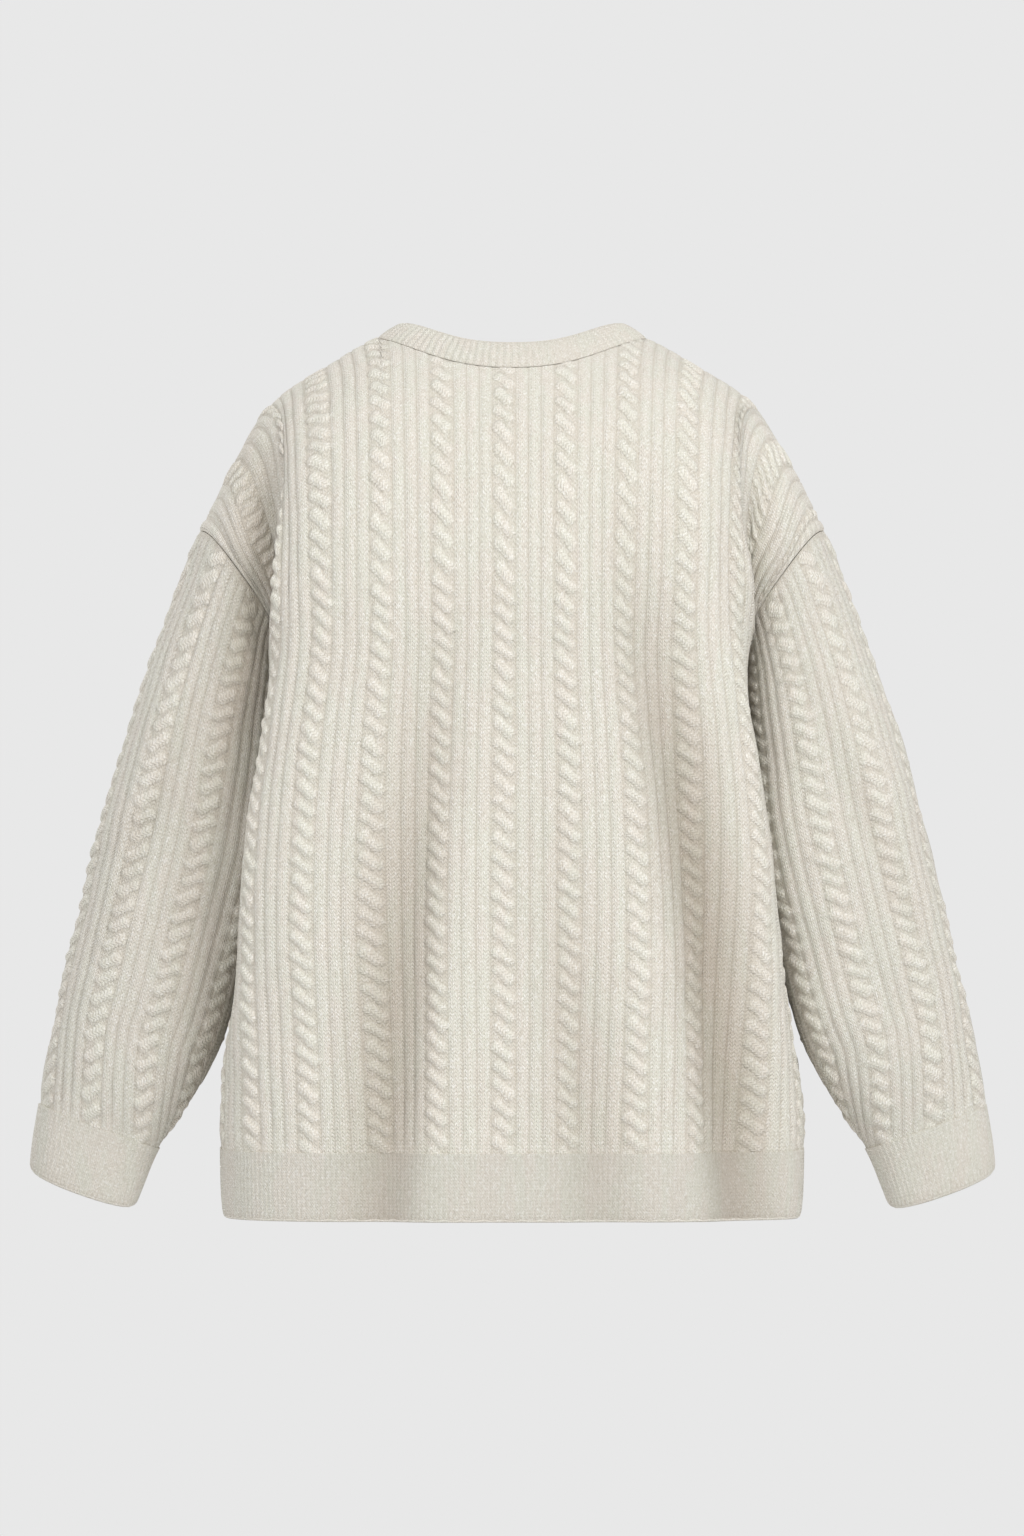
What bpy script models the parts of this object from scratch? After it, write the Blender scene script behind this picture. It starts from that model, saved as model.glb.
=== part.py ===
"""Crew-neck cable knit sweater, hollow, in the form that it has when worn, with no wearer.

Metres, +Z up. The wearer faces -Y, so +Y is the back and +X the wearer's left. Heights in
the tables are above the hem's lower edge. The finished garment is let down by
NECK_POINT_HEIGHT, so that the origin lies between the two neck points, where it hangs on
the wearer's shoulders.

Each panel is a smooth surface over two cloth measures: u, the distance across the knit, and
v, the distance up it. Ribs and cables are raised from u and v in the wall's outer points,
and the inside is plain.
"""

import math

import bmesh
import bpy
import numpy as np
from mathutils import Vector

# Cut of the body, in metres.
PANEL_HALF_WIDTH = 0.300
HEM_RIB_HEIGHT = 0.053
UNDERARM_HEIGHT = 0.442
BLADE_HEIGHT = 0.490
YOKE_LENGTH = 0.240
CROWN_HEIGHT = 0.690
NECK_POINT_HEIGHT = 0.684
NECK_HALF_WIDTH = 0.105
NECK_DROP_LENGTH = {1: 0.088, -1: 0.140}
NECK_SQUARENESS = 2.0
NECKBAND_HEIGHT = 0.024
NECKBAND_LEAN = {"side": 0.86, "back": 0.48, "front": 0.60}
SIDE_SEAM_Y = -0.005

# Cloth: wall, seam gap and relief of the knit.
WALL = 0.0024
SEAM_GAP = 0.0004
REPEAT = 0.050
SLEEVE_REPEAT = 0.0435
CABLE_SHARE = 0.19
CABLE_SWING = 0.0036
CABLE_PITCH = 0.0146
CABLE_RISE = 0.0032
RIB_RISE = 0.0018
PANEL_CABLE_PLACE = 0.0066
SLEEVE_CABLE_PLACE = 0.02175
NECK_RIB_PITCH = 0.0061
NECK_RIB_RISE = 0.0014
EDGE_FADE = 0.014
UNDERARM_FADE = (0.030, 0.110)
PANEL_KNIT_MARGIN = 0.005
SLEEVE_KNIT_MARGIN = 0.004
NECK_POINT_MARGIN = 0.0025
TAPER_MARGIN = 0.006
ON_BORDER = 1e-6

# Torso rings: height, half width, half depth, squareness, and the dent that the arm makes in the side.
TORSO_RINGS = (
    (0.000, 0.2245, 0.113, 3.7, 0.000),
    (0.110, 0.2265, 0.117, 3.7, 0.005),
    (0.220, 0.2320, 0.119, 4.0, 0.0410),
    (0.330, 0.2240, 0.120, 4.1, 0.0555),
    (0.400, 0.2100, 0.120, 4.0, 0.0480),
    (UNDERARM_HEIGHT, 0.2020, 0.120, 3.8, 0.0260),
)
DENT_Y = {1: -0.011, -1: 0.000}
DENT_HALF_WIDTH = 0.128

# Line over the shoulder and down the upper arm, from the neck point to the armhole: x and height.
SHOULDER_LINE = (
    (NECK_HALF_WIDTH, NECK_POINT_HEIGHT),
    (0.146, 0.6605),
    (0.1815, 0.6375),
    (0.1998, 0.6145),
    (0.219, 0.5800),
    (0.243, 0.5330),
)
UNDERARM_X = 0.176
ARMHOLE_HALF_DEPTH = 0.066
ARMHOLE_LIFT = 0.012

# Control wales and rows of half a panel. Each fold wale lists x, depth and height for the yoke rows.
WALES = (0.0, 0.05, 0.10, 0.15, 0.187, 0.217, 0.243, 0.270, PANEL_HALF_WIDTH)
YOKE_TURNS = (90.0, 68.0, 45.0, 22.0, 0.0)
ARMHOLE_TURNS = (150.0, 118.0, 82.0, 41.0, 0.0)
FOLD_WALES = {
    0.217: ((0.186, 0.086, 0.480), (0.180, 0.077, 0.535), (0.178, 0.064, 0.586), (0.188, 0.038, 0.621)),
    0.243: ((0.185, 0.059, 0.466), (0.182, 0.053, 0.514), (0.191, 0.054, 0.558), (0.205, 0.036, 0.592)),
    0.270: ((0.181, 0.046, 0.456), (0.190, 0.058, 0.491), (0.208, 0.063, 0.527), (0.221, 0.038, 0.563)),
}

# Sleeve rings: the outer and inner edge as x and height, half depth, forward set and squareness.
SLEEVE_RINGS = (
    ((0.2640, 0.478), (0.1820, 0.411), 0.067, -0.006, 2.2),
    ((0.2900, 0.402), (0.1850, 0.366), 0.066, -0.008, 2.6),
    ((0.3130, 0.324), (0.1905, 0.289), 0.063, -0.010, 2.9),
    ((0.3330, 0.246), (0.2080, 0.207), 0.059, -0.014, 2.9),
    ((0.3500, 0.178), (0.2290, 0.133), 0.054, -0.018, 2.7),
    ((0.3630, 0.118), (0.2595, 0.079), 0.046, -0.022, 2.3),
    ((0.3690, 0.086), (0.2770, 0.052), 0.038, -0.024, 2.3),
)
CUFF_END = ((0.3775, 0.036), (0.2945, 0.007), 0.033, -0.026, 2.3)
CUFF_SAG = 0.006

# How much further back each sleeve hangs: 1 on the wearer's left, -1 on the right.
SET_BACK = {1: 0.0, -1: 0.016}

# Colours of the wool, lighter on the body than on the sleeves.
WOOL = (0.740, 0.700, 0.620)
WOOL_SLEEVE = (0.700, 0.655, 0.575)

# Soft hanging folds, ridges where the depth is negative: side of the body, u at the hem, lean, v where
# the fold has faded out, half width and depth.
DRAPES = (
    (1, 0.107, -0.100, 0.52, 0.040, 0.0095),
    (1, 0.050, -0.060, 0.46, 0.034, -0.0030),
    (1, -0.071, 0.135, 0.40, 0.034, 0.0045),
    (1, -0.112, 0.105, 0.42, 0.028, -0.0025),
    (1, -0.186, 0.155, 0.60, 0.044, 0.0115),
    (1, -0.236, 0.140, 0.56, 0.028, -0.0020),
    (-1, 0.150, -0.070, 0.56, 0.040, 0.0095),
    (-1, 0.082, -0.040, 0.46, 0.034, -0.0030),
    (-1, 0.034, -0.050, 0.40, 0.034, 0.0045),
    (-1, -0.118, 0.060, 0.58, 0.042, 0.0105),
    (-1, -0.186, 0.060, 0.50, 0.030, -0.0030),
)

# Rows of the solids, as shares of each wale, and the wales of the plain inside.
TOP = BLADE_HEIGHT + YOKE_LENGTH
UNDERARM_SHARE = (UNDERARM_HEIGHT - HEM_RIB_HEIGHT) / (TOP - HEM_RIB_HEIGHT)
PANEL_ROWS = (0.0, 0.11, 0.22, 0.33, 0.45, UNDERARM_SHARE, 0.65, 0.72, 0.79, 0.86, 0.93, 1.0)
LINING_STEPS = 40
SLEEVE_ROWS = (0.010, 0.030, 0.070, 0.125, 0.190, 0.255, 0.320, 0.375)
TUBE_COLUMNS = 20
HEM_ROWS = (0.030, 0.003)
CUFF_ROWS = (0.08, 0.5, 0.94)
RISE = {"valley": 0.0, "side": 0.0, "rib": RIB_RISE, "cable": CABLE_RISE}


def spline_weights(knots, places):
    """Weights that turn values at the knots into values of a natural cubic spline at the places."""
    knots, places = np.asarray(knots, float), np.atleast_1d(np.asarray(places, float))
    count, gap = len(knots), np.diff(knots)
    system, right = np.eye(count), np.zeros((count, count))
    for k in range(1, count - 1):
        system[k, k - 1 : k + 2] = gap[k - 1], 2 * (gap[k - 1] + gap[k]), gap[k]
        right[k, k - 1 : k + 2] = 6 / gap[k - 1], -6 / gap[k - 1] - 6 / gap[k], 6 / gap[k]
    bend = np.linalg.solve(system, right)
    i = np.clip(np.searchsorted(knots, places) - 1, 0, count - 2)
    before = (knots[i + 1] - places) / gap[i]
    after = 1 - before
    held = np.eye(count)
    straight = before[:, None] * held[i] + after[:, None] * held[i + 1]
    curved = (before**3 - before)[:, None] * bend[i] + (after**3 - after)[:, None] * bend[i + 1]
    return straight + curved * (gap[i] ** 2)[:, None] / 6


def ease(low, high, value):
    """Smooth step from 0 at low to 1 at high."""
    share = np.clip((np.asarray(value, float) - low) / (high - low), 0, 1)
    return share * share * (3 - 2 * share)


def along(points):
    """Distance of each point along its line."""
    return np.concatenate([[0.0], np.cumsum(np.linalg.norm(np.diff(points, axis=0), axis=1))])


def unit(vectors):
    """The vectors at length one."""
    return vectors / np.linalg.norm(vectors, axis=-1, keepdims=True)


def superellipse(half_width, half_depth, squareness, turns):
    """Points of a superellipse, turned from the side (0) towards the back (a quarter turn)."""
    c, s = np.cos(turns), np.sin(turns)
    power = 2 / squareness
    x = half_width * np.sign(c) * np.abs(c) ** power
    y = half_depth * np.sign(s) * np.abs(s) ** power
    return np.stack([x, y], 1)


def by_length(line, shares):
    """Points of a line at shares of its length."""
    line = np.asarray(line, float)
    length = along(line)
    places = np.asarray(shares) * length[-1]
    return np.stack([np.interp(places, length, values) for values in line.T], 1)


def shoulder_point(u):
    """Where a wale ends: on the shoulder line or, nearer the middle, on the crown above the neck."""
    if u <= NECK_HALF_WIDTH:
        return u, CROWN_HEIGHT - (CROWN_HEIGHT - NECK_POINT_HEIGHT) * (u / NECK_HALF_WIDTH) ** 2
    line = np.asarray(SHOULDER_LINE)
    share = (u - NECK_HALF_WIDTH) / (PANEL_HALF_WIDTH - NECK_HALF_WIDTH)
    return tuple((spline_weights(along(line), [share * along(line)[-1]]) @ line)[0])


def armhole(turns):
    """The armhole seam: turn 0 is on the shoulder line, pi at the underarm, positive over the back."""
    turns = np.asarray(turns, float)
    up, down = (1 + np.cos(turns)) / 2, (1 - np.cos(turns)) / 2
    top_x, top_z = SHOULDER_LINE[-1]
    return np.stack([
        top_x * up + UNDERARM_X * down,
        SIDE_SEAM_Y * down + ARMHOLE_HALF_DEPTH * np.sin(turns),
        top_z * up + UNDERARM_HEIGHT * down + ARMHOLE_LIFT * np.abs(np.sin(turns)),
    ], -1)


class Surface:
    """Smooth surface through a net of control points, one row for each v and one column for each u."""

    def __init__(self, net, rows, columns, facing=1, moved=None):
        """Keeps the net, its v and u, which way it faces, and what moves its points afterwards."""
        self.net = net
        self.rows = rows
        self.columns = columns
        self.facing = facing
        self.moved = moved

    def points(self, u, v):
        """Points of the surface at matching places."""
        across, up = spline_weights(self.columns, u), spline_weights(self.rows, v)
        found = np.einsum("ir,ic,rcx->ix", up, across, self.net)
        return found if self.moved is None else self.moved(u, v, found)

    def normals(self, u, v, step=0.002):
        """Unit normals that point out of the garment."""
        du = self.points(u + step, v) - self.points(u - step, v)
        dv = self.points(u, v + step) - self.points(u, v - step)
        return self.facing * unit(np.cross(dv, du))


def panel_surface(face):
    """Back (face 1) or front (face -1) of the body, over u from side seam to side seam."""
    rows = [ring[0] for ring in TORSO_RINGS] + [TOP - YOKE_LENGTH * turn / 90 for turn in YOKE_TURNS]

    def half(side, flank):
        """Control rows of half the back (side 1) or front (side -1), with a flank's dent."""
        net = []
        for height, half_width, half_depth, squareness, dent in TORSO_RINGS:
            ring = superellipse(half_width, half_depth, squareness, np.linspace(math.pi / 2, 0, 300))
            shares = np.array(WALES) / PANEL_HALF_WIDTH
            x, y = by_length(ring, shares).T
            y = SIDE_SEAM_Y * ease(0, 1, shares) + side * y
            from_dent = np.clip(np.abs(y - DENT_Y[flank]) / DENT_HALF_WIDTH, 0, 1)
            x = x - dent * (1 + np.cos(math.pi * from_dent)) / 2
            net.append(np.stack([x, y, np.full(len(x), height)], 1))
        net[-1][-1] = armhole(math.pi)
        under = net[-1]
        for k, turn in enumerate(YOKE_TURNS):
            crown = [shoulder_point(u) for u in WALES]
            row = []
            for c, u in enumerate(WALES):
                top_x, top_z = crown[c]
                if u == PANEL_HALF_WIDTH:
                    x, y, z = armhole(side * math.radians(ARMHOLE_TURNS[k]))
                elif u in FOLD_WALES and turn:
                    x, depth, z = FOLD_WALES[u][k]
                    y = side * depth
                else:
                    s, c_turn = math.sin(math.radians(turn)), math.cos(math.radians(turn))
                    x = top_x + (under[c][0] - top_x) * s
                    y = under[c][1] * s
                    z = BLADE_HEIGHT + (top_z - BLADE_HEIGHT) * c_turn
                row.append((x, y, z))
            net.append(np.array(row))
        return net

    left, right = (np.array(half(face, flank) + half(-face, flank)[-2:-4:-1]) for flank in (1, -1))
    net = np.concatenate([right[:, :0:-1] * (-1, 1, 1), left], axis=1)
    wales = np.concatenate([-np.array(WALES)[:0:-1], WALES])
    rows += [2 * TOP - row for row in rows[-2:-4:-1]]
    folds = [fold[1:] for fold in DRAPES if fold[0] == face]

    def draped(u, v, found):
        """The surface's points with the hanging folds pressed in."""
        inward = np.zeros(len(found))
        for at_hem, lean, high, half_width, depth in folds:
            place = at_hem + lean * np.asarray(v)
            across = np.clip(np.abs(np.asarray(u) - place) / half_width, 0, 1)
            inward = inward + depth * (1 + np.cos(math.pi * across)) / 2 * ease(high, high - 0.30, v)
        return found - unit(found * (1, 1, 0)) * inward[:, None]

    return Surface(net, np.array(rows), wales, face, draped)


def neckline(face, u):
    """v at which a wale is cut off: by the neck, or further out by the shoulder seam."""
    inside = np.clip(1 - (np.abs(u) / NECK_HALF_WIDTH) ** NECK_SQUARENESS, 0, 1) ** (1 / NECK_SQUARENESS)
    return TOP - NECK_DROP_LENGTH[face] * inside


def sleeve_surface(side):
    """A sleeve as if on the left: u is the share of its half girth, positive at the back, and v runs down."""
    shares = np.linspace(-1, 1, 17)
    turns = np.linspace(-math.pi, math.pi, 721)
    rings = [by_length(armhole(turns), (shares + 1) / 2)]
    centres = [armhole(turns).mean(axis=0)]
    for k, (outer, inner, half_depth, set_y, squareness) in enumerate((*SLEEVE_RINGS, CUFF_END)):
        y = set_y + SET_BACK[side] * min(1, (k + 1) / 3)
        outer, inner = np.array([outer[0], y, outer[1]]), np.array([inner[0], y, inner[1]])
        centre, out = (outer + inner) / 2, (outer - inner) / 2
        ring = superellipse(1, 1, squareness, turns)
        sag = CUFF_SAG if (outer[0], outer[2]) == CUFF_END[0] else 0.0
        depth = ring[:, 1:]
        ring = centre + ring[:, :1] * out + depth * (0, half_depth, 0) - np.abs(depth) * (0, 0, sag)
        rings.append(by_length(ring, (shares + 1) / 2))
        centres.append(centre)
    rings = np.array(rings)
    wrapped = np.concatenate([rings[:, -4:-1], rings, rings[:, 1:4]], axis=1)
    columns = np.concatenate([shares[-4:-1] - 2, shares, shares[1:4] + 2])
    return Surface(wrapped, along(np.array(centres)), columns)


def half_girth(surface, v):
    """Half the way round a sleeve at v."""
    ring = surface.points(np.linspace(-1, 1, 97), np.full(97, v))
    return along(ring)[-1] / 2


def knit_columns(low, high, centre, repeat, margin):
    """Cables, ribs and the valleys beside them between low and high, each (u, kind)."""
    valley = CABLE_SHARE * repeat
    pitch = (repeat - 2 * valley) / 3
    places = [(0.0, "cable"), (repeat - valley, "side")]
    for k in range(3):
        places += [(valley + k * pitch, "valley" if k else "side"), (valley + (k + 0.5) * pitch, "rib")]
    first, last = math.floor((low - centre) / repeat), math.ceil((high - centre) / repeat)
    found = [(centre + k * repeat + u, kind) for k in range(first, last + 1) for u, kind in places]
    clear = {"cable": 3 * margin, "side": margin, "valley": margin, "rib": margin}
    return sorted((u, kind) for u, kind in found if low + clear[kind] < u < high - clear[kind])


def body_columns():
    """The knit's columns across a body panel, with plain ones at the side seams and at the neck points."""
    fixed = [-PANEL_HALF_WIDTH, -NECK_HALF_WIDTH, NECK_HALF_WIDTH, PANEL_HALF_WIDTH]
    knit = knit_columns(-PANEL_HALF_WIDTH, PANEL_HALF_WIDTH, PANEL_CABLE_PLACE, REPEAT, PANEL_KNIT_MARGIN)
    knit = [column for column in knit if min(abs(column[0] - u) for u in fixed) > NECK_POINT_MARGIN]
    return sorted(knit + [(u, "valley") for u in fixed])


def cable_line(low, high, lean):
    """Crest of a cable: (v, sideways), each strand crossing at a slant before the next steps back."""
    count = int((high - low) // CABLE_PITCH)
    start = low + (high - low - count * CABLE_PITCH) / 2
    line = []
    for k in range(count):
        line.append((start + (k + 0.12) * CABLE_PITCH, -lean * CABLE_SWING))
        line.append((start + (k + 0.88) * CABLE_PITCH, lean * CABLE_SWING))
    return line


def straight(values, u, v, rows):
    """Values at u, worked out at the rows and taken straight between them to v."""
    k = np.clip(np.searchsorted(rows, v, side="right") - 1, 0, len(rows) - 2)
    share = ((v - rows[k]) / (rows[k + 1] - rows[k]))[:, None]
    return values(u, rows[k]) * (1 - share) + values(u, rows[k + 1]) * share


def lining_wales():
    """Places across a panel of the columns of its plain inside."""
    return np.linspace(-PANEL_HALF_WIDTH, PANEL_HALF_WIDTH, LINING_STEPS + 1)


def relief_left(points):
    """Share of the relief left near the underarm, where sleeve and side press each other flat."""
    on_left = points * (np.sign(points[:, :1]) * (1, 0, 0) + (0, 1, 1))
    return ease(*UNDERARM_FADE, np.linalg.norm(on_left - armhole(math.pi), axis=1))


class Edge:
    """Border of a wall as its neighbour sees it: points, ways off the piece and places, out and inside."""

    FIELDS = ("outer", "off_outer", "at_outer", "inner", "off_inner", "at_inner")

    def __init__(self, *values):
        """Keeps the values, in the order of the fields."""
        for name, value in zip(self.FIELDS, values):
            setattr(self, name, np.asarray(value, float))

    def part(self, outer, inner):
        """The stretch of the border that the two selections leave."""
        kept = {"outer": outer, "inner": inner}
        return Edge(*(getattr(self, name)[kept[name.split("_")[-1]]] for name in self.FIELDS))

    def around(self, other):
        """Closed ring that runs along this edge (places -1 to 0) and back along the other (0 to 1)."""
        values = []
        for name in self.FIELDS:
            near, far = getattr(self, name), getattr(other, name)[::-1]
            if name.startswith("at_"):
                near = (near - near[0]) / (near[-1] - near[0]) - 1
                far = (far - far[0]) / (far[-1] - far[0])
            values.append(np.concatenate([near, far[1:-1]]))
        return Edge(*values)


def ring_places(points, start=-1.0):
    """Places from -1 to 1 by length round a closed line."""
    closed = np.concatenate([points, points[:1]])
    length = along(closed)
    return start + 2 * length[:-1] / length[-1]


class Wall:
    """A closed wall that is filled row by row between its outer and inner points."""

    def __init__(self):
        """Starts with no points."""
        self.shape = bmesh.new()

    def row(self, places, points):
        """Vertices with their places, for stitching."""
        return [(place, self.shape.verts.new(Vector(point))) for place, point in zip(places, points)]

    def stitch(self, first, second, closed=False):
        """Triangles between two rows, whatever their counts."""
        if closed:
            first, second = ([*row, (row[0][0] + 2, row[0][1])] for row in (first, second))
        i = j = 0
        while i < len(first) - 1 or j < len(second) - 1:
            if j == len(second) - 1:
                on_first = True
            elif i == len(first) - 1:
                on_first = False
            else:
                on_first = first[i][0] + first[i + 1][0] <= second[j][0] + second[j + 1][0]
            if on_first:
                corners = (first[i][1], first[i + 1][1], second[j][1])
                i += 1
            else:
                corners = (first[i][1], second[j + 1][1], second[j][1])
                j += 1
            if len(set(corners)) == 3:
                self.shape.faces.new(corners)

    def finish(self, name, colour, collection):
        """The wall as an object, let down so that the neck points are level with the origin."""
        bmesh.ops.recalc_face_normals(self.shape, faces=self.shape.faces)
        if self.shape.calc_volume(signed=True) < 0:
            bmesh.ops.reverse_faces(self.shape, faces=self.shape.faces)
        mesh = bpy.data.meshes.new(name)
        self.shape.to_mesh(mesh)
        self.shape.free()
        material = bpy.data.materials.new(f"{name}_wool")
        material.use_nodes = True
        shader = material.node_tree.nodes["Principled BSDF"]
        shader.inputs["Base Color"].default_value = (*colour, 1.0)
        shader.inputs["Roughness"].default_value = 0.9
        shader.inputs["Metallic"].default_value = 0.0
        mesh.materials.append(material)
        mesh.shade_smooth()
        mesh.set_sharp_from_angle(angle=math.radians(30))
        obj = bpy.data.objects.new(name, mesh)
        obj.location = (0.0, 0.0, -NECK_POINT_HEIGHT)
        collection.objects.link(obj)


def seam_frames(sleeve, face, u, v, points, normals):
    """Normals at a panel's borders, shared with the piece across the seam."""
    normals = normals.copy()
    side, top = np.abs(u) > PANEL_HALF_WIDTH - ON_BORDER, v > TOP - ON_BORDER
    below = side & (v < UNDERARM_HEIGHT - ON_BORDER)
    level = below | (top & (np.abs(u) > NECK_HALF_WIDTH - ON_BORDER))
    normals[level] = unit(normals[level] * (1, 0, 1))
    for i in np.flatnonzero(side & ~below):
        turns = np.linspace(0, math.pi, 181)
        line = armhole(face * turns)
        mirror = np.array([np.sign(u[i]), 1, 1])
        near = np.argmin(np.linalg.norm(line - points[i] * mirror, axis=1))
        share = along(line)[near] / along(line)[-1]
        across = sleeve.normals(np.array([face * min(share, 0.999)]), np.array([0.004]))[0]
        normals[i] = unit(normals[i] + across * mirror)
        if share > 0.98:
            normals[i] = (0, 0, -1)
    return normals


def make_panel(name, face, sleeve, collection):
    """Back (face 1) or front (face -1). Returns the edges that hem, neckband and sleeve are sewn to."""
    surface = panel_surface(face)
    wall = Wall()
    shares = np.array(PANEL_ROWS)

    def column(u):
        """Places, points and normals of one wale."""
        v = HEM_RIB_HEIGHT + shares * (neckline(face, u) - HEM_RIB_HEIGHT)
        us = np.full(len(v), u)
        points = surface.points(us, v)
        at_side = (np.abs(us) > PANEL_HALF_WIDTH - ON_BORDER) & (v < UNDERARM_HEIGHT + ON_BORDER)
        points[at_side, 1] = SIDE_SEAM_Y
        normals = seam_frames(sleeve, face, us, v, points, surface.normals(us, v))
        return us, v, points, normals

    def off(us, v):
        """Ways off the panel at its borders, and zero inside it."""
        way = np.zeros((len(v), 3))
        for end, sign in ((0, -1), (-1, 1)):
            beside = us[end] + np.array([-0.001, 0.001])
            edge_v = HEM_RIB_HEIGHT * np.ones(2) if end == 0 else neckline(face, beside)
            run = np.diff(surface.points(beside, edge_v), axis=0)[0]
            up = surface.points(us[[end]], v[[end]] + 0.002)[0] - surface.points(us[[end]], v[[end]])[0]
            leave = np.cross(surface.normals(us[[end]], v[[end]])[0], run)
            way[end] = unit(leave * np.sign(leave @ up)) * sign
        if abs(us[0]) > PANEL_HALF_WIDTH - ON_BORDER:
            outward = np.sign(us[0])
            way += unit(surface.points(us, v) - surface.points(us - outward * 0.002, v))
        return way

    outer, inner, hem, hem_in, top, top_in = [], [], [], [], [], []
    for u, kind in body_columns():
        us, v, points, normals = column(u)
        way = off(us, v)
        raised = points + normals * (RISE[kind] * relief_left(points))[:, None]
        raised[[0, -1]] = points[[0, -1]] + normals[[0, -1]] * RISE[kind] * 0.5
        hem.append((raised[0], way[0], u))
        top.append((raised[-1], way[-1], u))
        line = list(zip(v, raised - way * SEAM_GAP / 2))
        if kind == "cable":
            middle = cable_line(v[0], v[-1], face)
            mv, mu = (np.array([m[k] for m in middle]) for k in range(2))
            crest, crest_out = (straight(found, u + mu, mv, v) for found in (surface.points, surface.normals))
            to_edge = np.minimum(mv - v[0], v[-1] - mv)
            rise = CABLE_RISE * relief_left(crest) * (1 + ease(0, EDGE_FADE, to_edge)) / 2
            crest = crest + crest_out * rise[:, None]
            line = [line[0], *zip(mv, crest), line[-1]]
        rows = np.array([p[0] for p in line])
        rows = (rows - v[0]) / (v[-1] - v[0])
        outer.append(wall.row(rows, [p[1] for p in line]))
    lining = lining_wales()
    for u in lining:
        us, v, points, normals = column(u)
        way = off(us, v)
        sunk = points - normals * WALL
        hem_in.append((sunk[0], way[0], u))
        top_in.append((sunk[-1], way[-1], u))
        inner.append(wall.row(shares, sunk - way * SEAM_GAP / 2))
    for rows in (outer, inner):
        for first, second in zip(rows, rows[1:]):
            wall.stitch(first, second)
    wall.stitch(outer[0], inner[0])
    wall.stitch(outer[-1], inner[-1])
    wales = [u for u, _ in body_columns()]
    for end in (0, -1):
        outside = [(u, row[end][1]) for u, row in zip(wales, outer)]
        inside = [(u, row[end][1]) for u, row in zip(lining, inner)]
        wall.stitch(outside, inside)
    wall.finish(name, WOOL, collection)

    def edge(near, far):
        """A border from the points, ways and places of its outside and inside."""
        return Edge(*zip(*near), *zip(*far))

    neck = [np.array([abs(u) < NECK_HALF_WIDTH + ON_BORDER for u in us]) for us in (wales, lining)]
    above = np.arange(len(shares)) >= PANEL_ROWS.index(UNDERARM_SHARE)
    arm = Edge(raised, way, v, sunk, way, v).part(above, above)
    return edge(hem, hem_in), edge(top, top_in).part(*neck), arm


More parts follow.
